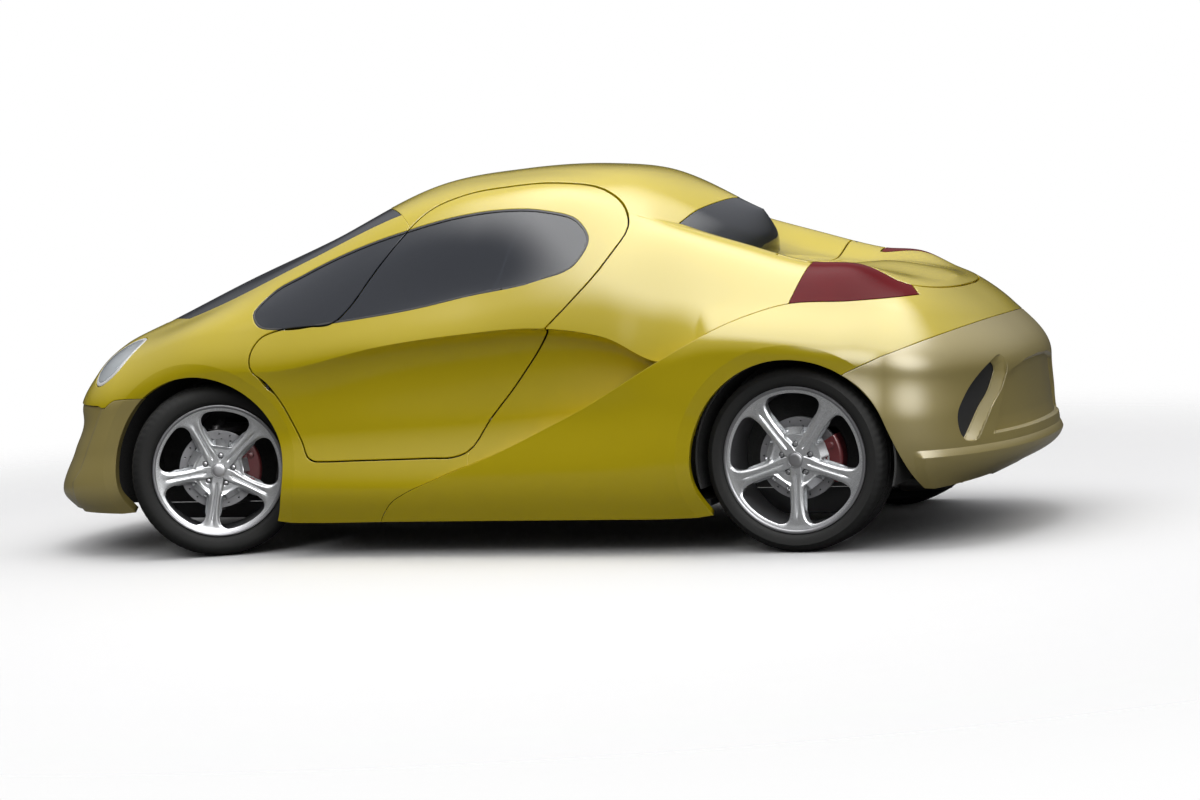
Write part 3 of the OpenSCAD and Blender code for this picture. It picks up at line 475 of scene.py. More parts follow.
def fold_panel(bm, surface, depth, fold=0.002, inner=True, seam=None, crisp=False):
    """Lays a cut grid on its surface and folds its border; leaves normals in the layers n, e and c."""
    layer_n = bm.verts.layers.float_vector.new("n")
    layer_e = bm.verts.layers.float_vector.new("e")
    layer_i = bm.verts.layers.int.new("i")
    layer_k = bm.faces.layers.int.new("k")
    layer_c = bm.loops.layers.float_vector.new("c") if crisp else None
    verts = list(bm.verts)
    for i, v in enumerate(verts):
        v.index = i
    flat = flat_places([v.co for v in verts])
    if crisp:
        crisp_corners(bm, surface, flat, layer_c)
    p = surface(flat[:, 0], flat[:, 1])
    n = directions(surface, flat[:, 0], flat[:, 1])
    n[:, 1] *= round_step(np.abs(p[:, 1])/0.020)
    n /= np.maximum(np.linalg.norm(n, axis=1), 1e-9)[:, None]
    middle = (np.abs(p[:, 1]) < 1e-5) & (seam is None)
    p[middle, 1] = 0
    n[middle, 1] = 0
    n /= np.maximum(np.linalg.norm(n, axis=1), 1e-9)[:, None]
    deep = depth(p) if callable(depth) else np.full(len(p), depth)
    joint = seam(flat[:, 0], flat[:, 1]) if seam else middle
    border = [e for e in bm.edges if e.is_boundary and not (joint[e.verts[0].index] and joint[e.verts[1].index])]
    inward = np.zeros_like(p)
    for e in border:
        loop = e.link_loops[0]
        i, j = loop.vert.index, loop.link_loop_next.vert.index
        d = p[j] - p[i]
        d /= max(np.linalg.norm(d), 1e-12)
        inward[i] += np.cross(n[i], d)
        inward[j] += np.cross(n[j], d)
    inward[middle, 1] = 0
    size = np.linalg.norm(inward, axis=1)
    inward[size > 0] /= size[size > 0][:, None]
    for i, v in enumerate(verts):
        v.co = p[i]
        v[layer_n], v[layer_e], v[layer_i] = n[i], -inward[i], i
    outer = list(bm.faces)
    if inner:
        copy = bmesh.ops.duplicate(bm, geom=verts + list(bm.edges) + outer)["geom"]
        for item in copy:
            if isinstance(item, bmesh.types.BMVert):
                i = item[layer_i]
                item.co = p[i] - deep[i]*n[i]
            elif isinstance(item, bmesh.types.BMFace):
                item[layer_k] = INNER
        bmesh.ops.reverse_faces(bm, faces=[f for f in copy if isinstance(f, bmesh.types.BMFace)])
    for e in border:
        for v in e.verts:
            i = v[layer_i]
            v.co = p[i] + fold*inward[i]
    ring = border
    for step, kind in ((1, FOLD), (2, FOLD), (3, FLANGE)):
        made = bmesh.ops.extrude_edge_only(bm, edges=ring)["geom"]
        ring = [g for g in made if isinstance(g, bmesh.types.BMEdge)]
        for g in made:
            if isinstance(g, bmesh.types.BMFace):
                g[layer_k] = kind
            elif isinstance(g, bmesh.types.BMVert):
                i = g[layer_i]
                side = 0.29*fold if step == 1 else 0
                down = 0.29*fold if step == 1 else fold if step == 2 else deep[i]
                g.co = p[i] + side*inward[i] - down*n[i]
    return bm


MIRROR = Matrix.Diagonal((1, -1, 1))


def carry(bm, verts, matrix, faces=()):
    """Moves vertices, and turns the directions stored with them and with the corners of the faces."""
    turn_only = matrix.to_3x3()
    layers = [l for l in (bm.verts.layers.float_vector.get(k) for k in "ne") if l]
    for v in verts:
        v.co = matrix @ v.co
        for layer in layers:
            v[layer] = turn_only @ v[layer]
    corner = bm.loops.layers.float_vector.get("c")
    if corner:
        for l in (l for f in faces for l in f.loops):
            l[corner] = turn_only @ l[corner]


def all_of(bm):
    return list(bm.verts) + list(bm.edges) + list(bm.faces)


def copied(bm, geom):
    """Copies geometry and gives back the new vertices and the new faces."""
    made = bmesh.ops.duplicate(bm, geom=geom)["geom"]
    return [[g for g in made if isinstance(g, kind)] for kind in (bmesh.types.BMVert, bmesh.types.BMFace)]


def mirrored_half(bm):
    """Adds the right half; finished() welds the two along the middle of the car."""
    verts, faces = copied(bm, all_of(bm))
    carry(bm, verts, MIRROR, faces)
    bmesh.ops.reverse_faces(bm, faces=faces)


def flip_side(bm):
    carry(bm, bm.verts, MIRROR, bm.faces)
    bmesh.ops.reverse_faces(bm, faces=list(bm.faces))


def finished(bm, name, body, material, nodes=(), sharp=None):
    """Turns a bmesh into an object that rides on its body and stands for its nodes; sharp is in degrees."""
    bmesh.ops.remove_doubles(bm, verts=list(bm.verts), dist=2e-5)
    mesh = bpy.data.meshes.new(name)
    bm.to_mesh(mesh)
    bm.free()
    mesh.polygons.foreach_set("use_smooth", np.ones(len(mesh.polygons), bool))
    if "n" in mesh.attributes:
        mesh.normals_split_custom_set(corner_directions(mesh))
    for extra in ("n", "e", "i", "k", "c"):
        if extra in mesh.attributes:
            mesh.attributes.remove(mesh.attributes[extra])
    piece = bpy.data.objects.new(name, mesh)
    scene.collection.objects.link(piece)
    mesh.materials.append(material)
    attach(piece, body)
    if nodes:
        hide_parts(*nodes)
    if sharp:
        mesh.set_sharp_from_angle(angle=math.radians(sharp))
    return piece


def read(items, field, width=1, kind=float):
    """One field of every item of a mesh, as an array."""
    out = np.zeros(len(items)*width, kind)
    items.foreach_get(field, out)
    return out.reshape(-1, width) if width > 1 else out


def corner_directions(mesh):
    """Normals of a panel's corners: the skin's outside, blended on the fold, outward on the flange."""
    n, e = (read(mesh.attributes[layer].data, "vector", 3) for layer in "ne")
    corner, total = read(mesh.loops, "vertex_index", kind=int), read(mesh.polygons, "loop_total", kind=int)
    k = np.repeat(read(mesh.attributes["k"].data, "value", kind=int), total)
    face_n = np.repeat(read(mesh.polygons, "normal", 3), total, axis=0)
    out = n[corner]
    if "c" in mesh.attributes:
        out[k == OUTER] = read(mesh.attributes["c"].data, "vector", 3)[k == OUTER]
    out[k == INNER] *= -1
    out[k == FOLD] = 0.35*n[corner[k == FOLD]] + face_n[k == FOLD]
    out[k == FLANGE] = e[corner[k == FLANGE]]
    wrong = (out*face_n).sum(1) < 0.2
    out[wrong] = face_n[wrong]
    return (out/np.maximum(np.linalg.norm(out, axis=1), 1e-9)[:, None]).tolist()


print("folding helpers ready")


# %% [markdown]
# ## Outlines
# The seams are the same side-view outlines as in the construction model. A signed distance to a closed loop
# is positive inside it, so a seam of any width is that distance minus a few millimetres.

# %% Outlines of doors, windows, wings and bumpers
DOOR = [[-287, 1222], [-400, 1075], [-516, 912], [-548, 886], [-655, 876], [-780, 864], [-846, 838], [-878, 780],
        [-874, 724], [-819, 670], [-771, 603], [-723, 515], [-682, 435], [-656, 382], [-632, 369], [-600, 367],
        [-480, 368], [-360, 369], [-150, 372], [-60, 374], [-10, 390], [75, 505], [164, 613], [248, 727],
        [330, 837], [410, 921], [544, 1092], [583, 1195],
        [550, 1262], [451, 1334], [282, 1367], [80, 1362], [-93, 1338], [-222, 1285]]
WINDOW = [[-903, 928], [-860, 996], [-727, 1068], [-500, 1160], [-292, 1219], [-63, 1266], [100, 1280], [276, 1269],
          [406, 1227], [459, 1153], [420, 1065], [293, 1017], [-5, 965], [-207, 927], [-434, 897], [-553, 884],
          [-773, 866], [-870, 884]]
WING = [[-400, 100], [-372, 150], [-301, 219], [-114, 300], [101, 379], [304, 468], [507, 563], [759, 702],
        [935, 794], [1077, 855], [1243, 897], [1444, 895], [1657, 900], [2200, 925]]
BUMPER = [[1300, 560], [1400, 612], [1475, 651], [1584, 698], [1742, 753], [1848, 789], [1900, 803], [2100, 825]]
NOTCH = [[-2300, 594], [-1565, 594], [-1552, 586], [-1532, 586], [-1513, 602], [-1490, 616],
         [-1430, 620], [-1200, 620]]
VENT = [[664, 475], [708, 542], [769, 597], [857, 646], [935, 664], [967, 628], [928, 556], [851, 492], [792, 426],
        [740, 377], [690, 385]]
VENT_TURN = math.radians(39.7)
LAMP_REAR, LID_FRONT, BONNET_HALF, GAP = 1.684, 1.135, 0.370, 0.006
FRONT_AXLE, REAR_AXLE, ARCH_R = (-1.131, 0.332), (1.251, 0.336), 0.368


def smooth_loop(points, n):
    p = np.array(points, float)
    ahead_p, back = np.roll(p, -1, 0), np.roll(p, 1, 0)
    l = np.linalg.norm(p - back, axis=1)[:, None]
    m = np.linalg.norm(ahead_p - p, axis=1)[:, None]
    lean = ((ahead_p - p)*l/m + (p - back)*m/l)/(l + m)
    rows = [hermite(p, ahead_p, m*lean, m*np.roll(lean, -1, 0), s/n) for s in range(n)]
    return np.stack(rows, 1).reshape(-1, 2)*0.001


def inside(loop, x, y):
    """Distance to a closed loop, positive inside."""
    a, b = loop, np.roll(loop, -1, 0)
    q = np.stack([x, y], 1)[:, None, :]
    d = b - a
    s = np.clip(((q - a)*d).sum(2)/np.maximum((d*d).sum(1), 1e-12), 0, 1)
    far = np.linalg.norm(q - a - s[:, :, None]*d, axis=2).min(1)
    up_y, low_y = a[:, 1] > q[:, :, 1], b[:, 1] > q[:, :, 1]
    at = a[:, 0] + (q[:, :, 1] - a[:, 1])*d[:, 0]/np.where(d[:, 1] == 0, 1e-12, d[:, 1])
    odd = ((up_y != low_y) & (q[:, :, 0] < at)).sum(1) % 2 == 1
    return np.where(odd, far, -far)


door_loop, window_loop = smooth_loop(DOOR, 4), smooth_loop(WINDOW, 5)
vent_loop = smooth_loop(VENT, 4)


def in_door(p):
    return inside(door_loop, p[:, 0], p[:, 2])


def in_window(p):
    return inside(window_loop, p[:, 0], p[:, 2])


def above_wing(p):
    x = p[:, 0]*1000
    return np.where(x < -400, 0.5, p[:, 2] - smooth_table(WING, np.maximum(x, -400))[:, 0]*0.001)


def behind_lamp(p):
    """Positive behind the slanted rear end of the tail lamp."""
    return ((p[:, 0] - LAMP_REAR)*0.066 + (p[:, 2] - 0.880)*0.076)/math.hypot(0.066, 0.076)


def above_line(rows):
    """Height above a seam; far above it where the seam doesn't reach."""
    xs, zs = [r[0]*0.001 for r in rows], [r[1]*0.001 for r in rows]
    return lambda p: np.where((p[:, 0] < xs[0]) | (p[:, 0] > xs[-1]), 0.5, p[:, 2] - np.interp(p[:, 0], xs, zs))


above_bumper, above_notch = above_line(BUMPER), above_line(NOTCH)


def outside_arch(p):
    front = np.hypot(p[:, 0] - FRONT_AXLE[0], p[:, 2] - FRONT_AXLE[1]) - ARCH_R
    rear = np.hypot(p[:, 0] - REAR_AXLE[0], p[:, 2] - REAR_AXLE[1]) - ARCH_R
    return np.minimum(front, rear)


behind_wheel = 0.001*np.array([[1501, -100], [1620, -100], [1711, 180], [1581, 500], [1251, 400]])


def outside_skirt(p):
    return -inside(behind_wheel, p[:, 0], p[:, 2])


COWL, HALF_ROOF, ROOF_LOW = 0.032, 0.520, 1.130


def bowed(middle, end):
    return lambda p: 0.001*(middle + (end - middle)*(p[:, 1]/HALF_ROOF)**2)


screen_foot, roof_front = bowed(-1566, -1284), bowed(-560, -345)


def roof_rear(p):
    return 0.001*(830 - 138*(np.abs(p[:, 1])/HALF_ROOF)**1.15)


def in_bonnet(p):
    return p[:, 1] + BONNET_HALF


def outside_pocket(p):
    """Outside the wider bit of seam where the door's edge passes its hinge pin."""
    a, long, wide = math.radians(-51), 0.045, 0.009
    x, z = p[:, 0] + 0.818, p[:, 2] - 0.664
    return (np.hypot((x*math.cos(a) + z*math.sin(a))/long, (z*math.cos(a) - x*math.sin(a))/wide) - 1)*wide


lamp_turn = (Matrix.Rotation(math.radians(216), 3, "Z") @ Matrix.Rotation(math.radians(40), 3, "Y")
             @ Matrix.Rotation(math.radians(23.7), 3, "Z"))
LAMP_AT, LAMP_LONG, LAMP_WIDE = np.array([-1.530, -0.632, 0.752]), 0.145, 0.088


def in_headlamp(p):
    q = (p - LAMP_AT) @ np.array(lamp_turn)
    return (1 - np.hypot(q[:, 0]/LAMP_LONG, q[:, 1]/LAMP_WIDE))*LAMP_WIDE


def in_vent(p, shift=0.0):
    across = p[:, 0]*math.sin(VENT_TURN) + p[:, 1]*math.cos(VENT_TURN)
    return inside(vent_loop, across + shift, p[:, 2])


print("door seam points:", len(door_loop))

# %% [markdown]
# ## Finishes
# No real surface is one flat colour. A shared group called grain gives two patterns, a broad one for slow
# drift in tone and a fine one for texture, and each finish uses them at its own scale for colour, gloss and
# bump. Everything reads Object coordinates, so the pattern stays fixed on the car.

# %% Shared grain group
grain = bpy.data.node_groups.new("grain", "ShaderNodeTree")
grain.interface.new_socket("Broad Scale", in_out="INPUT", socket_type="NodeSocketFloat")
grain.interface.new_socket("Fine Scale", in_out="INPUT", socket_type="NodeSocketFloat")
grain.interface.new_socket("Broad", in_out="OUTPUT", socket_type="NodeSocketFloat")
grain.interface.new_socket("Fine", in_out="OUTPUT", socket_type="NodeSocketFloat")
grain_in = grain.nodes.new("NodeGroupInput")
grain_out = grain.nodes.new("NodeGroupOutput")
grain_at = grain.nodes.new("ShaderNodeTexCoord")
for socket in ("Broad", "Fine"):
    noise = grain.nodes.new("ShaderNodeTexNoise")
    noise.inputs["Detail"].default_value = 3 if socket == "Broad" else 6
    link_nodes(grain, (grain_at.outputs["Object"], noise.inputs["Vector"]),
               (grain_in.outputs[socket + " Scale"], noise.inputs["Scale"]),
               (noise.outputs["Fac"], grain_out.inputs[socket]))
print("grain group with", len(grain.nodes), "nodes")


# %% [markdown]
# ## A recipe for every finish
# One function builds a finish from two tones, a range of gloss and a bump height. Clear coat, glass and
# metal then only set the plain numbers on the shader that make them different.

# %% Finish recipe
def finish(name, tone, other, gloss, broad=3.0, fine=220.0, bump=0.0, **plain):
    """gloss is the lowest and highest roughness; bump is in metres; plain sets sockets of the shader."""
    mat = bpy.data.materials.new(name)
    mat.use_nodes = True
    tree = mat.node_tree
    shader = tree.nodes["Principled BSDF"]
    pattern = node(tree, "Group", node_tree=grain)
    preset(pattern, Broad_Scale=broad, Fine_Scale=fine)
    mix, rough = node(tree, "Mix", data_type="RGBA"), node(tree, "MapRange")
    mix.inputs[6].default_value = (*tone, 1)
    mix.inputs[7].default_value = (*other, 1)
    preset(rough, From_Min=0.3, From_Max=0.7, To_Min=gloss[0], To_Max=gloss[1])
    link_nodes(tree, (pattern.outputs["Broad"], mix.inputs[0]), (mix.outputs[2], shader.inputs["Base Color"]),
               (pattern.outputs["Fine"], rough.inputs["Value"]), (rough.outputs[0], shader.inputs["Roughness"]))
    if bump:
        relief = node(tree, "Bump")
        preset(relief, Distance=bump)
        link_nodes(tree, (pattern.outputs["Fine"], relief.inputs["Height"]),
                   (relief.outputs[0], shader.inputs["Normal"]))
    preset(shader, **plain)
    return mat


paint = finish("yellow_paint", (0.66, 0.515, 0.004), (0.60, 0.465, 0.003), (0.30, 0.42), 1.3, 900,
               Coat_Weight=1.0, Coat_Roughness=0.03, Specular_IOR_Level=0.12)
tan = finish("tan_bumper", (0.45, 0.360, 0.112), (0.39, 0.310, 0.092), (0.36, 0.48), 2.0, 1200, 0.00004,
             Coat_Weight=1.0, Coat_Roughness=0.22)
dark_glass = finish("tinted_glass", (0.056, 0.064, 0.082), (0.048, 0.056, 0.074), (0.0, 0.01), 2.0, 60,
                    Transmission_Weight=0.45, IOR=1.45)
clear_glass = finish("lamp_glass", (0.62, 0.66, 0.69), (0.54, 0.58, 0.61), (0.08, 0.14), 5.0, 80,
                     Transmission_Weight=0.35, IOR=1.45, Coat_Weight=0.5)
red_lens = finish("red_lens", (0.19, 0.004, 0.009), (0.12, 0.003, 0.006), (0.10, 0.18), 6.0, 240,
                  Coat_Weight=0.06, Coat_Roughness=0.02, Specular_IOR_Level=0.03)
black_plastic = finish("black_plastic", (0.012, 0.012, 0.013), (0.022, 0.022, 0.023), (0.40, 0.60), 6.0, 900,
                       0.00006)
rubber = finish("tyre_rubber", (0.008, 0.008, 0.008), (0.014, 0.014, 0.013), (0.60, 0.82), 9.0, 420, 0.00008,
                Specular_IOR_Level=0.25)
seal_rubber = finish("seal_rubber", (0.006, 0.006, 0.006), (0.010, 0.010, 0.010), (0.45, 0.60), 20.0, 600, 0.00005)
lamp_silver = finish("lamp_silver", (0.72, 0.73, 0.74), (0.62, 0.63, 0.65), (0.22, 0.34), 9.0, 300, Metallic=0.6)
lamp_white = finish("lamp_rim_white", (0.80, 0.80, 0.79), (0.72, 0.72, 0.71), (0.25, 0.35), 8.0, 500,
                    Coat_Weight=0.6)
# Dark steel for the hinge pins and the exhaust: its darkness is painted shade, so these parts read as sitting in
# shadow.
sooty = finish("sooty_steel", (0.030, 0.029, 0.028), (0.060, 0.056, 0.052), (0.45, 0.70), 7.0, 260, 0.0003,
               Metallic=0.8)
alloy = finish("silver_alloy", (0.66, 0.67, 0.68), (0.58, 0.59, 0.60), (0.22, 0.32), 8.0, 900, Metallic=0.55)
barrel_alloy = finish("barrel_alloy", (0.30, 0.30, 0.31), (0.22, 0.22, 0.23), (0.28, 0.40), 8.0, 700,
                      Metallic=0.6)
disc_iron = finish("brake_disc", (0.33, 0.33, 0.34), (0.24, 0.24, 0.25), (0.30, 0.45), 14.0, 800, 0.00003,
                   Metallic=0.6)
steel = finish("brushed_steel", (0.45, 0.45, 0.46), (0.36, 0.36, 0.37), (0.28, 0.42), 10.0, 700, 0.00003,
               Metallic=1.0)
cast = finish("cast_iron", (0.10, 0.10, 0.105), (0.16, 0.155, 0.15), (0.45, 0.65), 12.0, 320, 0.0004, Metallic=0.7)
caliper_red = finish("caliper_red", (0.17, 0.012, 0.016), (0.12, 0.010, 0.012), (0.3, 0.45), 12.0, 500, 0.0001,
                     Coat_Weight=0.6, Coat_Roughness=0.1)
hide = finish("grey_leather", (0.150, 0.142, 0.132), (0.110, 0.104, 0.098), (0.42, 0.60), 5.0, 380, 0.0005)
trim_grain = finish("grained_trim", (0.030, 0.030, 0.032), (0.045, 0.045, 0.047), (0.5, 0.7), 6.0, 700, 0.0003)
underseal = finish("underseal", (0.014, 0.014, 0.014), (0.026, 0.025, 0.024), (0.6, 0.85), 4.0, 160, 0.0008)
print(len(bpy.data.materials), "materials")


# %% [markdown]
# ## Body panels
# Every panel names its part of the skin, the seams that cut it, how deep its folded edge goes and what it
# rides on. Both sides come from the left one, because the car is symmetrical.

# %% Panel maker
CELL = 16.5
counts = {}


def drop_crumbs(bm, least=14):
    """Deletes islands of only a few faces, which two seams that nearly meet can leave."""
    left = set(bm.faces)
    while left:
        island, edge = set(), [left.pop()]
        while edge:
            face = edge.pop()
            island.add(face)
            for e in face.edges:
                for other in e.link_faces:
                    if other in left:
                        left.discard(other)
                        edge.append(other)
        if len(island) < least:
            bmesh.ops.delete(bm, geom=list(island), context="FACES")


def cut_panel(surface, us, ts, cuts, scores=()):
    bm = flat_grid(us, ts)
    for keep in cuts:
        cut_grid(bm, surface, keep)
    for line in scores:
        cut_grid(bm, surface, line, drop=False)
    drop_crumbs(bm)
    return bm


def past(measure, gap=0.0):
    """Keeps what lies more than gap inside a seam."""
    return lambda p, u, t: measure(p) - gap


def short_of(measure, gap=0.0):
    """Keeps what lies more than gap outside a seam."""
    return lambda p, u, t: -measure(p) - gap


def cabin(u, t):
    return skin(CABIN, u, t)


def panel(name, lines, us, ts, cuts, material, body="car_body", depth=0.020, relief=None, sink=0.0,
          nodes=(), scores=(), fold=0.002):
    """A panel of both halves of the car, cut on the skin of the given lines."""
    def surface(u, t):
        return skin(lines, u, t)
    bm = cut_panel(surface, us, ts, cuts, scores)
    laid = raised(surface, relief) if relief else surface
    if sink:
        laid = sunk(laid, sink)
    fold_panel(bm, laid, depth, fold=fold, crisp=bool(scores))
    mirrored_half(bm)
    piece = finished(bm, name, body, material, nodes)
    counts[name] = sum(len(f.vertices) - 2 for f in piece.data.polygons)


def door_pieces(name, laid, us, ts, cuts, material, depth, node_name=None, scores=(), fold=0.002):
    """One piece on each door, cut on the skin of the cabin and laid on the surface laid."""
    for side in ("left", "right"):
        bm = cut_panel(cabin, us, ts, cuts, scores)
        fold_panel(bm, laid, depth, fold=fold, crisp=bool(scores))
        if side == "right":
            flip_side(bm)
        nodes = (f"{node_name}_{side}",) if node_name else ()
        finished(bm, f"{name}_{side}", f"door_{side}", material, nodes)


BAND, BAND_DEEP = 0.052, 0.009
around_door, within_door = short_of(in_door, GAP/2), past(in_door, GAP/2)
band_edge = past(outside_arch, BAND)


def arch_band(p):
    """Flat band pressed in round each wheel opening."""
    return -BAND_DEEP*np.clip(1 - outside_arch(p)/BAND, 0, 1)


def on_crease(p, u, t):
    """Zero along the crease above the scoop in the side, where the skin turns sharply."""
    return 0.05*(t - 4)


print("panel maker ready")

# %% [markdown]
# ## Front wings and bonnet
# The wings run from the bumper back over the wheel, round the door and up the slim screen pillars. On the real
# car they are one moulding, so they are one panel here too, with the bonnet as a lid cut out of the same skin.
# The flat band round the wheel opening is scored first, so that its outer edge stays a sharp line.

# %% Front wings and bonnet
panel("front_wings_skin", CABIN,
      joined(round_end(0.28, 1, 40), along_between(CABIN, -1500, 0, CELL)), up_between(CABIN, 0, 8, CELL),
      [lambda p, u, t: np.maximum(screen_foot(p) - p[:, 0], 0.25*(6 - t)), past(above_notch, 0.001),
       lambda p, u, t: np.maximum(-in_bonnet(p) - GAP, p[:, 0] + 1.300),
       past(above_wing, 0.0015), past(outside_arch),
       lambda p, u, t: np.minimum(-in_door(p) - GAP/2, outside_pocket(p)),
       short_of(in_window), short_of(in_headlamp, 0.0015),
       lambda p, u, t: np.maximum(np.maximum(roof_front(p) - p[:, 0], p[:, 0] - roof_rear(p)),
                                  ROOF_LOW - p[:, 2]) - 0.0005],
      paint, relief=arch_band, nodes=("front_wings",), scores=[band_edge])
panel("bonnet_skin", CABIN, joined(round_end(0, 1, 56), along_between(CABIN, -1500, -1270, CELL)),
      up_between(CABIN, 3.5, 8, CELL),
      [lambda p, u, t: screen_foot(p) - COWL - p[:, 0], lambda p, u, t: p[:, 2] - 0.600, past(in_bonnet)],
      paint, body="bonnet", nodes=("bonnet",))
print(counts)

# %% [markdown]
# ## Roof, pillars and quarter panels
# The roof ends in a dome over the rear window, and the quarter panels sweep from the door to the tail lamps.
# Both stop at seams that are written as curves on the car, so neighbours always meet along the same line.

# %% Roof, pillars and quarter panels
panel("roof_skin", CABIN, joined(along_between(CABIN, -640, 600, CELL), round_end(2, 3, 40)),
      up_between(CABIN, 5, 8, CELL),
      [lambda p, u, t: np.maximum(0.560 - p[:, 0], 0.25*(t - 6)),
       lambda p, u, t: p[:, 0] - roof_front(p), lambda p, u, t: roof_rear(p) - p[:, 0],
       lambda p, u, t: p[:, 2] - ROOF_LOW, around_door, short_of(in_window)],
      paint, nodes=("roof",))
LAMP_FRONT_Z, LAMP_FRONT_X = (0.885, 1.034, 1.2), (1.236, 1.275, 1.285)


def in_tail_lamp(p):
    front = p[:, 0] - np.interp(p[:, 2], LAMP_FRONT_Z, LAMP_FRONT_X)
    return np.minimum(np.minimum(front, above_wing(p)), -behind_lamp(p))


panel("quarter_skin", BODY, along_between(BODY, 0, 1330, CELL), up_between(BODY, 1, 6, CELL),
      [past(above_wing, 0.001), around_door, short_of(in_tail_lamp, 0.001)],
      paint, nodes=("quarter_panels",), scores=[on_crease])
print(counts)

# %% [markdown]
# ## Rear wings, deck and boot lid
# The rear wing is the broad moulding that rises from the sill, passes over the wheel and closes the tail. It
# stands proud of the door, so its front edge gets a deeper fold. The deck and the boot lid lie between the two
# ridges, and the lid leaves out the strips that the tail lamps wrap over.

# %% Rear wings, deck and boot lid
def clip_depth(p):
    """The fold is deeper along the front edge that stands proud of the door."""
    return 0.030 + 0.080*np.clip((0.80 - p[:, 0])/0.06, 0, 1)*np.clip((p[:, 2] - 0.36)/0.08, 0, 1)


panel("rear_clip_skin", HIPS, joined(along_between(HIPS, -450, 900, CELL), along_between(HIPS, 900, 1600, CELL),
                                     round_end(2, 3, 64)), up_between(HIPS, 0, 6, CELL),
      [lambda p, u, t: np.maximum(p[:, 0] - 0.900, 0.2*(5 - t)),
       lambda p, u, t: np.maximum(-above_wing(p), behind_lamp(p)) - 0.001,
       past(above_bumper, 0.001), past(outside_arch), past(outside_skirt)],
      paint, relief=arch_band, nodes=("rear_clip",), scores=[band_edge], depth=clip_depth)


def plan_of_ridge(lines, x0, x1):
    """Ground plan, on both sides of the car, of the long line beside the crown."""
    us = joined(along_between(lines, x0, x1, 20), round_end(2, 3, 40))
    edge = skin(lines, np.array(us), np.full(len(us), 6.0))[:, :2]
    return np.concatenate([edge, edge[::-1]*[1, -1]])


ridge_loop, dome_loop = plan_of_ridge(BODY, 600, 1600), plan_of_ridge(CABIN, 300, 600)
lamp_flank = np.array([[1.275, -0.700], [1.275, -0.415], [1.590, -0.445], [1.590, -0.700]])


def in_lid(p):
    """Ground plan of the boot lid: inside the ridges, without the strips that the tail lamps wrap over."""
    return np.minimum(inside(ridge_loop, p[:, 0], p[:, 1]), -inside(lamp_flank, p[:, 0], -np.abs(p[:, 1])))


DECK_US = joined(along_between(BODY, 600, 1600, CELL), round_end(2, 3, 48))
DECK_TS = up_between(BODY, 6, 8, CELL)
panel("rear_deck_skin", BODY, DECK_US, DECK_TS,
      [lambda p, u, t: LID_FRONT - p[:, 0], lambda p, u, t: 0.012 - inside(dome_loop, p[:, 0], p[:, 1])],
      paint, nodes=("rear_deck",))
panel("boot_lid_skin", BODY, DECK_US, DECK_TS,
      [lambda p, u, t: p[:, 0] - LID_FRONT - GAP, past(in_lid, GAP)],
      paint, body="boot_lid", nodes=("boot_lid",))
print(counts)

# %% [markdown]
# ## Doors
# A door is a thin outer skin with a trim card behind it. The skin is scored along the crease above the scoop,
# where a smooth grid would blur the turn, and the card is the same form moved inward, a little smaller.

# %% Doors
def in_card(p):
    return np.minimum(in_door(p), inside(door_loop - [0.020, 0], p[:, 0], p[:, 2]))


door_pieces("door_skin", cabin, along_between(CABIN, -900, 600, CELL), up_between(CABIN, 1, 6.5, CELL),
            [within_door, short_of(in_window)], paint, 0.006, "door", [on_crease])
door_pieces("door_card", lambda u, t: cabin(u, t) + [0, 0.026, -0.006], along_between(CABIN, -900, 600, 14),
            up_between(CABIN, 1, 6.5, 12), [past(in_card, 0.011), short_of(in_window, 0.004)],
            trim_grain, 0.016, fold=0.006)
print("doors made")

# %% [markdown]
# ## Glazing
# The panes are tinted glass a few millimetres thick that continue the curve of the body, set in narrow rubber
# seals. A sunk black panel closes the gap between the foot of the screen and the bonnet.

# %% Glazing
PANE, SEAL = 0.006, 0.0045
panel("windscreen_glass", CABIN, joined(round_end(0.2, 1, 40), along_between(CABIN, -1500, -300, 20)),
      up_between(CABIN, 6, 8, 20),
      [lambda p, u, t: p[:, 0] - screen_foot(p) - 0.002, lambda p, u, t: roof_front(p) - 0.002 - p[:, 0]],
      dark_glass, depth=PANE, sink=0.001, nodes=("windscreen",))
panel("backlight_glass", CABIN, joined(along_between(CABIN, 560, 600, 20), round_end(2, 3, 40)),
      up_between(CABIN, 6, 8, 20), [lambda p, u, t: p[:, 0] - roof_rear(p) - 0.002],
      dark_glass, depth=PANE, sink=0.001, nodes=("backlight",))
panel("quarter_light_glass", CABIN, along_between(CABIN, -960, -200, CELL), up_between(CABIN, 4.5, 6, CELL),
      [past(in_window), around_door],
      dark_glass, depth=PANE, sink=0.004, nodes=("quarter_lights",))


def past_window_front(p, u, t):
    return p[:, 0] + 0.570


door_pieces("door_window", sunk(cabin, 0.004), along_between(CABIN, -960, 600, CELL),
            up_between(CABIN, 4.5, 6, CELL), [past(in_window), within_door, past_window_front],
            dark_glass, PANE, "door_glass")
panel("cowl_panel", CABIN, joined(round_end(0.1, 1, 40), along_between(CABIN, -1500, -1270, 12)),
      up_between(CABIN, 5, 8, 12),
      [lambda p, u, t: p[:, 0] - screen_foot(p) + COWL + 0.030, lambda p, u, t: screen_foot(p) + 0.030 - p[:, 0],
       past(in_bonnet)], black_plastic, depth=0.004, sink=0.068)


def seal_ring(p):
    """Positive on the narrow rubber that the glass sits in."""
    return np.minimum(in_window(p) - 0.0005, 0.0075 - in_window(p))


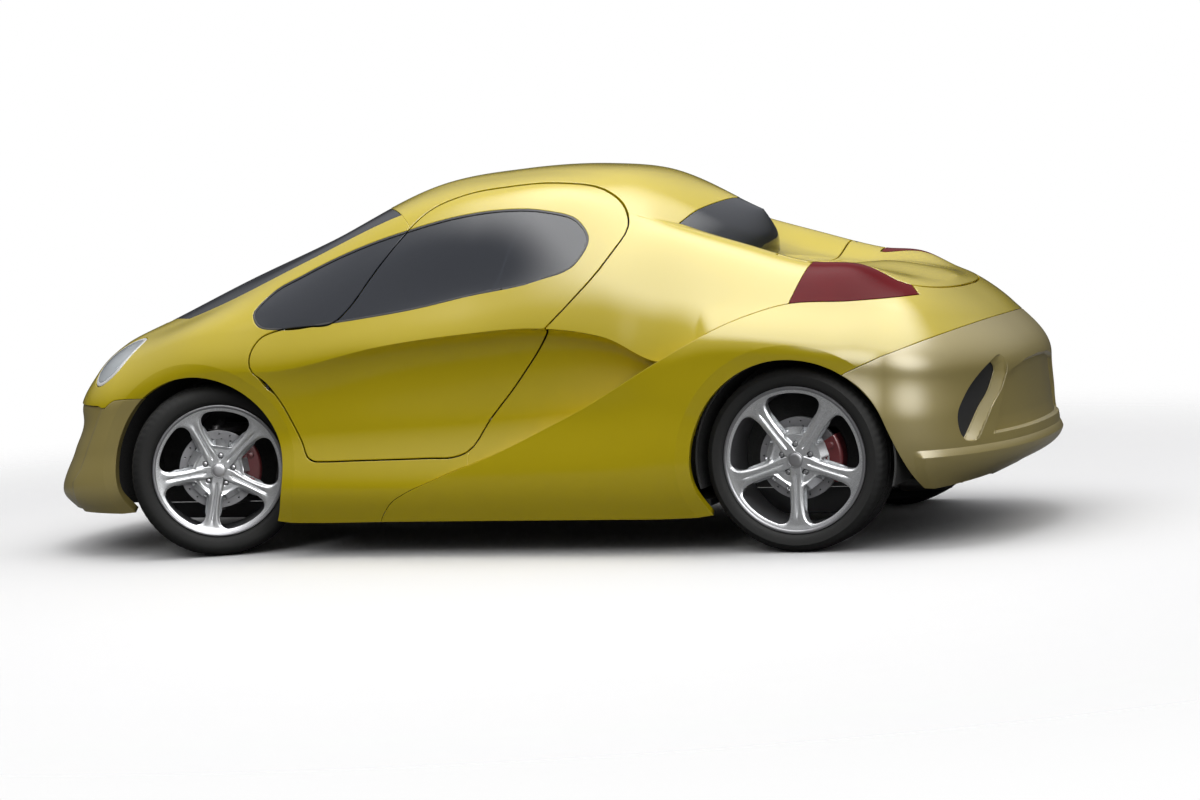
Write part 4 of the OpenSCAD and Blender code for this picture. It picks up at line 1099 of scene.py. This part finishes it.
panel("quarter_light_seal", CABIN, along_between(CABIN, -960, -200, 8), up_between(CABIN, 4.4, 6.2, 8),
      [past(seal_ring), around_door], seal_rubber, depth=SEAL, fold=0.0015, sink=0.0005)
door_pieces("window_seal", sunk(cabin, 0.0005), along_between(CABIN, -960, 600, 8),
            up_between(CABIN, 4.4, 6.2, 8), [past(seal_ring), within_door, past_window_front],
            seal_rubber, SEAL, fold=0.0015)
print("glazing made")

# %% [markdown]
# ## Bumpers
# The bumpers are tan mouldings. The rear one has a sunk field, a lip below it and two corner vents, each with
# a fin that slopes from the surface down to the dark opening; the front one has an upright crease at each
# side. These are small reliefs on the skin, scored along their edges so that the folds stay crisp.

# %% Bumpers
FIN, LIP_TOP, LIP_EDGE, LOW_U, NOSE_U = 0.058, 0.358, 0.336, 2.6, 0.6
FIELD = [[-500, 392], [-352, 600], [-180, 632], [0, 638], [180, 632], [352, 600], [500, 392]]
CORNER_LINE = [[292, -1727], [342, -1675], [477, -1600], [587, -1532]]
field_loop = 0.001*np.array(FIELD)


def in_field(p):
    return inside(field_loop, p[:, 1], p[:, 2])


def bumper_relief(p):
    lip = np.clip((LIP_TOP - p[:, 2])/(LIP_TOP - LIP_EDGE), 0, 1)*np.clip((p[:, 0] - 1.69)/0.03, 0, 1)
    return -0.016*np.clip(in_field(p)/0.010 + 0.2, 0, 1)*(p[:, 0] > 1.7) + 0.014*lip


def in_fin(p):
    return in_vent(p, FIN)


def before_corner(p):
    """Positive ahead of the upright crease in the front bumper."""
    z, x = zip(*CORNER_LINE)
    return 0.001*np.interp(p[:, 2]*1000, z, x) - p[:, 0]


def front_bumper_relief(p):
    ahead_by = before_corner(p)
    return arch_band(p) - 0.010*round_step(ahead_by/0.035)*(1 - 0.7*round_step((ahead_by - 0.035)/0.25))


panel("rear_bumper_skin", HIPS, joined(along_between(HIPS, 1300, 1600, 12), round_end(2, 3, 90)),
      up_between(HIPS, 0, 5.5, 12, LOW_U),
      [short_of(above_bumper, 0.001), past(outside_arch), past(outside_skirt), short_of(in_vent)],
      tan, depth=0.030, relief=bumper_relief, nodes=("rear_bumper",),
      scores=[past(in_field, -0.002), past(in_field, 0.008),
              lambda p, u, t: p[:, 2] - LIP_TOP, lambda p, u, t: p[:, 2] - LIP_EDGE])
panel("vent_fins", HIPS, joined(along_between(HIPS, 1550, 1600, 10), round_end(2, 3, 110)),
      up_between(HIPS, 0, 5.5, 10, LOW_U), [past(in_vent, 0.0005), short_of(in_fin)], tan,
      depth=0.004, relief=lambda p: -0.0225*np.clip(1 + in_fin(p)/0.040, 0, 1))
panel("corner_vent_floor", HIPS, joined(along_between(HIPS, 1550, 1600, 20), round_end(2, 3, 60)),
      up_between(HIPS, 0, 5.5, 20, LOW_U), [past(in_vent, -0.004)], black_plastic,
      depth=0.004, sink=0.028, nodes=("corner_vents",))
panel("front_bumper_skin", BODY, joined(round_end(0, 1, 80), along_between(BODY, -1500, -1200, 12)),
      up_between(BODY, 0, 4.5, 12, NOSE_U), [short_of(above_notch, 0.001), past(outside_arch)],
      tan, depth=0.030, relief=front_bumper_relief, nodes=("front_bumper",),
      scores=[band_edge, past(before_corner)])
print(counts)

# %% [markdown]
# ## Lamps
# The tail lamps are red lenses that wrap from the flank over the ridge. Each headlamp is a pale oval lens in a
# white rim, with a silvered bowl pressed in behind it.

# %% Lamps
panel("tail_lamp_lens", BODY, joined(along_between(BODY, 1180, 1600, 10), round_end(2, 2.8, 50)),
      up_between(BODY, 4.5, 7, 10, 1.95),
      [past(in_tail_lamp, 0.001), lambda p, u, t: np.maximum(0.05*(6 - t) + 0.0002, -in_lid(p) - 0.001)],
      red_lens, depth=0.003, fold=0.001, nodes=("tail_lamps",))
LAMP_US = joined(round_end(0.28, 1, 60), along_between(CABIN, -1500, -1270, 10))
LAMP_TS = up_between(CABIN, 4, 8, 10, 0.8)
beside_bonnet = short_of(in_bonnet, GAP)


def bowl_depth(p):
    """A round bowl pressed into the lamp housing, with a bulb boss in its middle."""
    inner = np.clip(in_headlamp(p)/LAMP_WIDE, 0, 1)
    return -0.012 - 0.030*np.sqrt(np.clip(1 - (1 - inner)**2, 0, 1)) + 0.016*round_step((inner - 0.72)/0.1)


panel("headlamp_lens", CABIN, LAMP_US, LAMP_TS, [past(in_headlamp, 0.011), beside_bonnet],
      clear_glass, depth=0.005, nodes=("headlamps",))
panel("headlamp_rim", CABIN, LAMP_US, LAMP_TS,
      [past(in_headlamp, 0.001), short_of(in_headlamp, -0.0105), beside_bonnet],
      lamp_white, depth=0.020, fold=0.0035)
panel("headlamp_bowl", CABIN, LAMP_US, LAMP_TS, [past(in_headlamp, 0.0095), beside_bonnet],
      lamp_silver, depth=0.002, relief=bowl_depth, fold=0.0005)
print("triangles so far:", sum(counts.values()))

# %% [markdown]
# ## Wheels
# A cast wheel is one face with five openings, a barrel behind it and a bolted hub. The face is drawn as a
# fifth of a disc in (angle, radius), cut by the opening and the bolt hole with the same tool as the body
# panels, and copied five times round the axle. The openings get a deep wall, which is the side of the spokes.

# %% Wheel face
SPOKES = 5
SECTOR = 2*math.pi/SPOKES
HALF_TYRE, BOLT_R = 0.1125, 0.057
KINGPIN_Y, PAST_KINGPIN, REAR_Y = 0.650, 0.030, 0.680
PARKED_TURN = Matrix.Rotation(math.radians(28), 4, "Z")


def place_wheel(bm, end, side):
    """Moves a wheel piece from its own centre, Y outward, to where its wheel stands."""
    if side == "left":
        flip_side(bm)
    sign = -1 if side == "left" else 1
    if end == "front":
        out = (Matrix.Translation((FRONT_AXLE[0], sign*KINGPIN_Y, FRONT_AXLE[1])) @ PARKED_TURN
               @ Matrix.Translation((0, sign*PAST_KINGPIN, 0)))
    else:
        out = Matrix.Translation((REAR_AXLE[0], sign*REAR_Y, REAR_AXLE[1]))
    carry(bm, bm.verts, out)


def wheel_piece(bm, kind, end, side, material, node_kind=None, sharp=None):
    """Places a piece on its wheel and finishes it under that wheel's name."""
    place_wheel(bm, end, side)
    where = f"_{end}_{side}"
    nodes = (node_kind + where,) if node_kind else ()
    finished(bm, kind + where, "wheel" + where, material, nodes, sharp)


def round_axle(bm, count):
    """Copies what is there to the other equal steps round the wheel's own axle."""
    first = all_of(bm)
    for i in range(1, count):
        verts, _ = copied(bm, first)
        carry(bm, verts, Matrix.Rotation(2*math.pi*i/count, 3, "Y"))


def sector_ends(width):
    return lambda u, t: (u < 1e-6) | (u > width - 1e-6)


def wheel_face(rim_r, start):
    """Surface of one fifth of the wheel's face; start is the angle of its first spoke, from straight back."""
    R = rim_r*1000
    rise = [[0, 88], [60, 87.5], [120, 89], [180, 92], [R - 34, 95.5], [R - 14, 99.5], [R, 102]]
    half = [[20, 25], [60, 26], [110, 20.5], [170, 22.5], [R - 45, 33], [R - 24, 54]]

    def parts(u, t):
        r = t*1000
        near = np.minimum(u, SECTOR - u)
        beside = r*np.sin(near)
        return r, beside, smooth_table(half, r)[:, 0]

    def surface(u, t):
        r, beside, wide = parts(u, t)
        drop = round_step((beside - wide + 7)/9)*np.clip((R - 20 - r)/14, 0, 1)
        deep = 3.5 + 9.5*np.clip((96 - r)/10, 0, 1)
        groove = round_step(1 - beside/5.5)*round_step((r - 44)/14)*round_step((R - 40 - r)/60)
        ridge = round_step(1 - np.abs(beside - 0.52*wide)/(0.45*wide))
        ridge *= round_step((r - 46)/30)*round_step((R - 30 - r)/40)
        y = smooth_table(rise, r)[:, 0] - deep*drop - 4.2*groove + 1.8*ridge
        a = start - u
        return np.stack([t*np.cos(a), y*0.001, -t*np.sin(a)], 1)

    def beside_opening(p, u, t):
        r, beside, wide = parts(u, t)
        flat = r*np.cos(u - SECTOR/2)
        k = 6.0
        inside_all = -k*np.log(np.exp(-(beside - wide - 2)/k) + np.exp(-(flat - 92)/k) + np.exp(-(R - 25 - r)/k))
        return -inside_all*0.001

    def beside_bolt(p, u, t):
        return np.sqrt(t**2 + BOLT_R**2 - 2*t*BOLT_R*np.cos(u - SECTOR/2)) - 0.0105
    return surface, [beside_opening, beside_bolt]


def spun(profile, steps, arc=2*math.pi, start=0.0):
    """A closed profile of (radius, y) in millimetres, spun round the wheel's own axle."""
    bm = bmesh.new()
    verts = [bm.verts.new((0.001*r*math.cos(start), 0.001*y, -0.001*r*math.sin(start))) for r, y in profile]
    edges = [bm.edges.new(pair) for pair in zip(verts, verts[1:] + verts[:1])]
    full = abs(arc - 2*math.pi) < 1e-6
    bmesh.ops.spin(bm, geom=verts + edges, cent=(0, 0, 0), axis=(0, 1, 0), angle=arc, steps=steps,
                   use_merge=full)
    bmesh.ops.remove_doubles(bm, verts=list(bm.verts), dist=1e-6)
    bmesh.ops.recalc_face_normals(bm, faces=list(bm.faces))
    return bm


def add_to(bm, *others):
    """Joins other bmeshes into this one."""
    for other in others:
        scratch = bpy.data.meshes.new("scratch")
        other.to_mesh(scratch)
        other.free()
        bm.from_mesh(scratch)
        bpy.data.meshes.remove(scratch)


def soften(bm, edges, width, rings=2):
    bmesh.ops.bevel(bm, geom=edges, offset=width, affect="EDGES", segments=rings, profile=0.5, material=-1)


def shift(bm, matrix):
    bmesh.ops.transform(bm, verts=list(bm.verts), matrix=matrix)


def cone(segments, low_r, high_r, depth):
    bm = bmesh.new()
    bmesh.ops.create_cone(bm, cap_ends=True, segments=segments, radius1=low_r, radius2=high_r, depth=depth)
    return bm


def face_depth(p):
    """The bolt holes have a short wall, the openings a deep one."""
    return np.where(np.hypot(p[:, 0], p[:, 2]) < 0.080, 0.012, 0.036)


WHEELS = [(end, side) for end in ("front", "rear") for side in ("left", "right")]
RIM_R = {"front": 0.254, "rear": 0.267}
TYRE_R = {"front": 0.332, "rear": 0.336}
FIRST_SPOKE = {"front": math.radians(101), "rear": math.radians(90)}
share = np.linspace(0, 1, 63)
FACE_US = list(SECTOR*(share - 0.11*np.sin(2*math.pi*share)))
for end, side in WHEELS:
    surface, cuts = wheel_face(RIM_R[end], FIRST_SPOKE[end])
    bm = flat_grid(FACE_US, list(np.linspace(0.024, RIM_R[end] - 0.010, 47)))
    for keep in cuts:
        cut_grid(bm, surface, keep)
    fold_panel(bm, surface, face_depth, fold=0.0022, seam=sector_ends(SECTOR))
    round_axle(bm, SPOKES)
    wheel_piece(bm, "rim_face", end, side, alloy, "rim")
print("four wheel faces")

# %% [markdown]
# ## Barrels, caps and bolts
# The barrel is turned, so its cross-section is drawn once and spun round the axle, as a lathe would make it.
# The plain cap is spun as well, and five hexagon bolts stand in the holes between the spokes.

# %% Barrels, caps and bolts
CAP = [(0, 93), (14, 92.8), (22, 91.8), (25.5, 90.2), (26, 91), (28.5, 91), (29.5, 89.5), (29.5, 78), (0, 78)]
for end, side in WHEELS:
    R, w = RIM_R[end]*1000, HALF_TYRE*1000
    bm = spun([(R - 24, 9 - w), (R - 3, 9 - w), (R, 12 - w), (R, 17 - w), (R - 16, 17 - w), (R - 16, w - 17),
               (R, w - 17), (R, w - 11.5), (R - 1.2, w - 9.6), (R - 4, w - 9), (R - 8, w - 9.6), (R - 13, w - 13),
               (R - 20, w - 19), (R - 24, w - 30)], 128)
    wheel_piece(bm, "rim_barrel", end, side, barrel_alloy, sharp=40)
    bm = spun(CAP, 64)
    for i in range(SPOKES):
        bolt = cone(6, 0.0085, 0.0085, 0.016)
        soften(bolt, list(bolt.edges), 0.0012)
        a = FIRST_SPOKE[end] - SECTOR*(i + 0.5)
        shift(bolt, Matrix.Translation((BOLT_R*math.cos(a), 0.069, -BOLT_R*math.sin(a)))
              @ Matrix.Rotation(math.pi/2, 4, "X"))
        add_to(bm, bolt)
    wheel_piece(bm, "hub_cap", end, side, steel, sharp=35)
print("barrels and caps")

# %% [markdown]
# ## Brake discs and calipers
# Through the openings one sees a drilled iron disc and a dark red caliper. One narrow sector of the disc
# carries three holes and is copied round; the caliper is its own cross-section spun through a sixth of a
# turn, with rounded edges and two bolt heads.

# %% Discs and calipers
HOLES = 20
HOLE_STEP = 2*math.pi/HOLES
HAT = [(30.1, 50), (74, 50), (74, 24), (90, 24), (90, 29.5), (80, 29.5), (80, 54), (76, 58), (30.1, 58)]
CALIPER = [(100, -20), (160, -20), (168, -12), (168, 46), (160, 54), (108, 54), (100, 48), (100, 35.5),
           (156, 35.5), (156, 2.5), (100, 2.5)]
CALIPER_ARC = math.radians(64)


def disc_sector(u, t):
    return np.stack([t*np.cos(-u), 0*u + 0.030, t*np.sin(u)], 1)


def disc_hole(at_u, at_r):
    return lambda p, u, t: np.hypot((u - at_u)*at_r, t - at_r) - 0.0036


for end, side in WHEELS:
    bm = flat_grid(list(np.linspace(0, HOLE_STEP, 15)), list(np.linspace(0.080, 0.150, 24)))
    for share, at_r in ((0.25, 0.098), (0.5, 0.117), (0.75, 0.136)):
        cut_grid(bm, disc_sector, disc_hole(share*HOLE_STEP, at_r))
    fold_panel(bm, disc_sector, 0.022, fold=0.0008, seam=sector_ends(HOLE_STEP))
    round_axle(bm, HOLES)
    wheel_piece(bm, "disc_ring", end, side, disc_iron, "disc")
    wheel_piece(spun(HAT, 64), "disc_hat", end, side, cast, sharp=35)


def caliper():
    bm = spun(CALIPER, 20, CALIPER_ARC, -CALIPER_ARC/2)
    bmesh.ops.holes_fill(bm, edges=[e for e in bm.edges if e.is_boundary])
    bmesh.ops.recalc_face_normals(bm, faces=list(bm.faces))
    soften(bm, [e for e in bm.edges if len(e.link_faces) == 2 and e.calc_face_angle() > 0.6], 0.003, 3)
    for a in (-0.36, 0.36):
        head = cone(24, 0.013, 0.011, 0.012)
        soften(head, list(head.edges), 0.0015)
        shift(head, Matrix.Translation((0.134*math.cos(a), 0.057, -0.134*math.sin(a)))
              @ Matrix.Rotation(-math.pi/2, 4, "X"))
        add_to(bm, head)
    return bm


for side in ("left", "right"):
    bm = caliper()
    place_wheel(bm, "front", side)
    finished(bm, f"caliper_body_front_{side}", f"steer_{side}", caliper_red, (f"caliper_front_{side}",),
             45)
bm = caliper()
place_wheel(bm, "rear", "left")
mirrored_half(bm)
finished(bm, "caliper_bodies_rear", "car_body", caliper_red, ("rear_calipers",), 45)
print("discs and calipers")

# %% [markdown]
# ## Tyres
# A tyre is a ring with a smooth outline, so it is a grid wrapped round the axle. Its grooves are real: four
# run round the tread, short ones cross the shoulders, and shallow moulded rings break up the sidewall.

# %% Tyres
def tyre_surface(tyre_r, rim_r):
    r, b, w = tyre_r*1000, rim_r*1000, HALF_TYRE*1000
    half = [(b - 16, w - 34), (b - 16, w - 17), (b + 1, w - 16.5), (b + 6, w - 8), (b + 22, w - 2),
            ((r + b)/2 + 8, w), (r - 22, w - 4.5), (r - 8, w - 15), (r - 1.5, w - 38), (r, w - 70), (r, 0)]
    outline = np.array(half + [(a, -y) for a, y in half[-2::-1]])
    run = np.concatenate([[0], np.cumsum(np.linalg.norm(np.diff(outline, axis=0), axis=1))])
    rows = [[d, list(p)] for d, p in zip(run, outline)]
    total = run[-1]

    def surface(u, t):
        p = smooth_table(rows, t*total)
        rad, y = p[:, 0], p[:, 1]
        off = np.abs(y)
        tread = np.clip((rad - (r - 9))/6, 0, 1)
        around = np.minimum(np.abs(off - 18), np.abs(off - 56))
        deep = 6*np.clip((5.5 - around)/1.8, 0, 1)*tread
        slant = (u*36/math.pi + 0.012*off) % 1.0
        block = np.clip((0.5 - np.abs(slant - 0.5))*-9 + 1.3, 0, 1)*np.clip((off - 62)/3, 0, 1)
        between = np.clip((0.5 - np.abs((slant + 0.5) % 1.0 - 0.5))*-9 + 1.2, 0, 1)
        block += 0.7*between*np.clip((off - 23)/3, 0, 1)*np.clip((51 - off)/3, 0, 1)
        deep += 4*np.clip(block, 0, 1)*np.clip((rad - (r - 24))/12, 0, 1)
        wall = np.clip((b + 58 - rad)/4, 0, 1)*np.clip((rad - b - 8)/4, 0, 1)
        y = y + np.sign(y)*0.7*wall*np.clip(1 - np.abs((rad - b - 20) % 14 - 7)/1.6, 0, 1)
        rad = rad - deep
        return 0.001*np.stack([rad*np.cos(-u), y, rad*np.sin(u)], 1)
    return surface


TYRE_TS = sorted(set(np.round(np.concatenate([np.linspace(0, 1, 37), np.linspace(0.34, 0.66, 38)]), 5)))
for end, side in WHEELS:
    surface = tyre_surface(TYRE_R[end], RIM_R[end])
    bm = flat_grid(list(np.linspace(0, 2*math.pi, 289)), TYRE_TS)
    flat = flat_places([v.co for v in bm.verts])
    for v, spot in zip(bm.verts, surface(flat[:, 0], flat[:, 1])):
        v.co = spot
    bmesh.ops.remove_doubles(bm, verts=list(bm.verts), dist=1e-5)
    bmesh.ops.bridge_loops(bm, edges=[e for e in bm.edges if e.is_boundary])
    bmesh.ops.recalc_face_normals(bm, faces=list(bm.faces))
    wheel_piece(bm, "tyre_rubber", end, side, rubber, "tyre", 38)
print("tyres")

# %% [markdown]
# ## Dark sheets for painted shade, and hinge pins
# Black plastic sheets hang under the edges of the floor, behind the wheels. They are painted shade: they hide the
# lit floor that would show through the lower wheel openings, so the view under the car stays dark. The hinge pins
# are short turned rods in steel darkened as painted shade. Both are plain forms with rounded edges, joined in one
# piece of each kind.

# %% Dark sheets for painted shade, and hinge pins
def rounded_box(low, high, edge, rings=2):
    """A box between two corners with every edge rounded."""
    bm = bmesh.new()
    bmesh.ops.create_cube(bm, size=1)
    for v in bm.verts:
        v.co = Vector([(a + b)/2 + c*(b - a) for a, b, c in zip(low, high, v.co)])
    soften(bm, list(bm.edges), edge, rings)
    return bm


def rod(a, b, r):
    """A round rod from a to b with rounded ends."""
    a, b = Vector(a), Vector(b)
    bm = cone(32, r, r, (b - a).length)
    soften(bm, [e for e in bm.edges if abs(e.verts[0].co.z - e.verts[1].co.z) < 1e-6], 0.2*r)
    shift(bm, Matrix.Translation((a + b)/2) @ (b - a).to_track_quat("Z", "Y").to_matrix().to_4x4())
    return bm


# Black sheets under the floor edges that hide the lit floor behind the wheels: painted shade.
SHADE_SHEETS = [((-1.56, -0.358, 0.100), (-0.80, -0.346, 0.163)), ((0.90, -0.526, 0.112), (1.47, -0.514, 0.208)),
          ((0.90, -0.526, 0.112), (0.912, -0.10, 0.150))]
PINS = [((-0.815, -0.812, 0.625), (-0.815, -0.812, 0.765)), ((-1.478, -0.420, 0.862), (-1.478, -0.330, 0.862)),
        ((1.157, -0.497, 1.056), (1.157, -0.470, 1.056))]
# The sheets are painted shade; the rear ones lean back at the bottom.
guards = bmesh.new()
add_to(guards, *[rounded_box(low, high, 0.003) for low, high in SHADE_SHEETS])
for v in guards.verts:
    if v.co.x > 0.5:
        v.co.x += 0.25*max(0.0, 0.160 - v.co.z)
mirrored_half(guards)
finished(guards, "splash_guards", "car_body", black_plastic, (), 35)
pins = bmesh.new()
add_to(pins, *[rod(a, b, 0.0068) for a, b in PINS])
mirrored_half(pins)
# The pins get the darkened steel as painted shade in their pockets.
finished(pins, "hinge_pin_set", "car_body", sooty, ("hinge_pins",), 35)
print("guards and pins")

# %% [markdown]
# ## Seats and bench
# A seat pad is foam under a sewn leather cover. The cover is tightest along its seams, so the middle of a pad
# stands proud, its sides pull in between the corners and the stitched channels sink. Each pad starts as a
# finely divided box that is rounded, crowned and creased by those rules, then smoothed once.

# %% Seats and bench
def pad(size, place, lean=0.0, channels=(), bolster=0.0, cuts=22):
    """A crowned pad; size and place in metres, lean about Y in degrees, channels are lines across its face."""
    bm = bmesh.new()
    bmesh.ops.create_cube(bm, size=2)
    bmesh.ops.subdivide_edges(bm, edges=list(bm.edges), cuts=cuts, use_grid_fill=True)
    q = np.array([v.co for v in bm.verts])
    q = q*(np.abs(q).max(1)/np.power((np.abs(q)**7).sum(1), 1/7))[:, None]
    a, b, c = q[:, 0], q[:, 1], q[:, 2]
    crown = 0.80 + 0.20*np.cos(np.pi/2*a)*np.cos(np.pi/2*b)
    out = np.stack([a*(1 - 0.035*(1 - b**2)), b*(1 - 0.030*(1 - a**2)), c*crown], 1)*np.array(size)/2
    face = round_step((c - 0.45)/0.4)
    for line in channels:
        out[:, 2] -= 0.011*face*np.exp(-((a - line)/0.045)**2)*round_step((0.66 - np.abs(b))/0.06)
    for line in (-0.62, 0.62):
        out[:, 2] -= 0.010*face*np.exp(-((b - line)/0.035)**2)
    out[:, 2] += bolster*face*round_step((np.abs(b) - 0.62)/0.22)
    seam = np.exp(-((c - 0.35)/0.10)**2)*(np.maximum(np.abs(a), np.abs(b)) > 0.8)
    out[:, :2] -= 0.004*np.sign(q[:, :2])*seam[:, None]*(np.abs(q[:, :2]) > 0.8)
    for v, spot in zip(bm.verts, out):
        v.co = spot
    bmesh.ops.smooth_vert(bm, verts=list(bm.verts), factor=0.3, use_axis_x=True, use_axis_y=True,
                          use_axis_z=True)
    shift(bm, Matrix.Translation(place) @ Matrix.Rotation(math.radians(lean), 4, "Y"))
    return bm


SEAT_Y, BACK_LEAN = -0.370, -70
seat_pads = pad((0.53, 0.50, 0.150), (0.060, SEAT_Y, 0.336), -4, (-0.35, 0.0, 0.35), 0.022)
add_to(seat_pads, pad((0.64, 0.48, 0.125), (0.462, SEAT_Y, 0.585), BACK_LEAN, (-0.40, -0.10, 0.20), 0.026),
       pad((0.18, 0.26, 0.085), (0.590, SEAT_Y, 0.975), BACK_LEAN, cuts=14))
mirrored_half(seat_pads)
seats = finished(seat_pads, "front_seat_pads", "car_body", hide, ("front_seats",))
frames = rounded_box((-0.170, -0.595, 0.190), (0.230, -0.145, 0.272), 0.018, 3)
for y in (-0.420, -0.320):
    add_to(frames, rod((0.548, y, 0.855), (0.575, y, 0.935), 0.007))
for y in (-0.560, -0.180):
    add_to(frames, rounded_box((-0.190, y - 0.018, 0.189), (0.260, y + 0.018, 0.204), 0.004))
mirrored_half(frames)
finished(frames, "front_seat_frames", "car_body", black_plastic, (), 35)
bench_pads = bmesh.new()
for y in (-0.262, 0.262):
    add_to(bench_pads, pad((0.325, 0.52, 0.235), (0.715, y, 0.306), -5, (0.0,), 0.012),
           pad((0.43, 0.52, 0.120), (0.822, y, 0.585), -80, (-0.3, 0.1), 0.014))
bench = finished(bench_pads, "rear_bench_pads", "car_body", hide, ("rear_bench",))
print("seats:", len(seats.data.polygons), "bench:", len(bench.data.polygons))

# %% [markdown]
# ## Dashboard and steering wheel
# The dashboard is one moulded beam, so its cross-section is drawn once and pulled across the car; a hood
# shades the instruments and four round vents sit in its face. The wheel's rim is a ring spun from a small
# circle, with three flat spokes and a padded hub.

# %% Dashboard and steering wheel
def pulled(profile, y0, y1, edge):
    """A cross-section in (x, z), pulled along Y, with rounded edges."""
    bm = bmesh.new()
    face = bm.faces.new([bm.verts.new((x, y0, z)) for x, z in profile])
    moved = bmesh.ops.extrude_face_region(bm, geom=[face])["geom"]
    bmesh.ops.translate(bm, verts=[v for v in moved if isinstance(v, bmesh.types.BMVert)], vec=(0, y1 - y0, 0))
    bmesh.ops.recalc_face_normals(bm, faces=list(bm.faces))
    soften(bm, list(bm.edges), edge, 3)
    return bm


BEAM = [(-0.748, 0.600), (-0.748, 0.770), (-0.640, 0.806), (-0.540, 0.800), (-0.470, 0.765), (-0.452, 0.700),
        (-0.500, 0.600), (-0.560, 0.562), (-0.700, 0.562)]
HOOD = [(-0.600, 0.780), (-0.575, 0.822), (-0.490, 0.838), (-0.462, 0.826), (-0.478, 0.780)]
dash = pulled(BEAM, -0.688, 0.688, 0.012)
add_to(dash, pulled(HOOD, -0.530, -0.210, 0.008))
for y in (-0.620, -0.090, 0.090, 0.620):
    ring = spun([(30, -6), (40, -6), (42, 0), (40, 10), (34, 12), (32, 4), (30, 0)], 40)
    for dz in (-0.014, 0, 0.014):
        add_to(ring, rounded_box((-0.029, -0.003, dz - 0.0015), (0.029, 0.003, dz + 0.0015), 0.001))
    shift(ring, Matrix.Translation((-0.462, y, 0.732)) @ Matrix.Rotation(-math.pi/2, 4, "Z"))
    add_to(dash, ring)
finished(dash, "dashboard_moulding", "car_body", trim_grain, ("dashboard",), 35)
HELM_R, GRIP_R = 170, 14
grip = [(HELM_R + GRIP_R*math.cos(a), GRIP_R*math.sin(a)) for a in np.linspace(0, 2*math.pi, 17)[:-1]]
helm = spun(grip, 72)
add_to(helm, spun([(0, 16), (30, 15), (44, 10), (50, 2), (50, -10), (44, -12), (0, -12)], 48))
for a in (90, 210, 330):
    spoke = rounded_box((0.040, -0.005, -0.014), (0.164, 0.005, 0.014), 0.004)
    shift(spoke, Matrix.Rotation(math.radians(a + 90), 4, "Y"))
    add_to(helm, spoke)
add_to(helm, rod((0, -0.010, 0), (0, -0.198, 0), 0.021))
tip = Matrix.Rotation(math.radians(65), 4, "Y") @ Matrix.Rotation(math.pi/2, 4, "X")
shift(helm, Matrix.Translation((-0.330, -0.370, 0.770)) @ tip)
bmesh.ops.recalc_face_normals(helm, faces=list(helm.faces))
finished(helm, "steering_wheel_rim", "car_body", hide, ("steering_wheel",), 40)
print("dashboard and steering wheel")

# %% [markdown]
# ## Engine and exhaust
# The engine with its gearbox is one block of castings under a ribbed cover. The exhaust is a pressed steel
# box with a pipe along the floor, dark as painted shade so that it reads as sitting in shadow under the tail.
# Both are rounded forms with a few ribs and bands, seen when a lid is open.

# %% Engine and exhaust
block = rounded_box((-1.558, -0.298, 0.190), (-0.842, 0.298, 0.560), 0.020, 3)
add_to(block, rounded_box((-1.480, -0.230, 0.540), (-0.920, 0.230, 0.636), 0.026, 4))
for i in range(7):
    x = -1.410 + 0.070*i
    add_to(block, rounded_box((x, -0.190, 0.628), (x + 0.030, 0.190, 0.645), 0.005))
add_to(block, rod((-0.960, 0.140, 0.625), (-0.960, 0.140, 0.648), 0.032))
for y in (-0.299, 0.299):
    for x in (-1.46, -1.30, -1.14, -0.98):
        add_to(block, rod((x, 0.985*y, 0.470), (x, y, 0.470), 0.022))
finished(block, "engine_block", "car_body", cast, ("engine",), 35)
silencer = rounded_box((1.481, -0.259, 0.157), (1.669, 0.259, 0.209), 0.022, 4)
for y in (-0.17, 0.0, 0.17):
    add_to(silencer, rounded_box((1.479, y - 0.008, 0.155), (1.671, y + 0.008, 0.211), 0.006))
add_to(silencer, rod((0.900, 0.180, 0.175), (1.485, 0.180, 0.175), 0.0295))
for x in (1.02, 1.30):
    add_to(silencer, rod((x, 0.180, 0.175), (x + 0.030, 0.180, 0.175), 0.0325))
# The silencer gets the darkened steel as painted shade under the tail.
finished(silencer, "exhaust_silencer", "car_body", sooty, ("exhaust",), 35)
print("engine and exhaust")

# %% [markdown]
# ## Pieces that keep their solid
# The floor pan, the suspension arms, the rear axle and the knuckles have the right shape already. They sit in
# shadow, so they only get coated and cast surfaces with grain.

# %% Finishes of the pieces that keep their solid
KEPT = {"underbody": underseal, "front_arms": cast, "rear_axle": cast,
        "knuckle_left": cast, "knuckle_right": cast}
for name, material in KEPT.items():
    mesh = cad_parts[name].data
    mesh.materials.clear()
    mesh.materials.append(material)
print(len(KEPT), "solids finished")
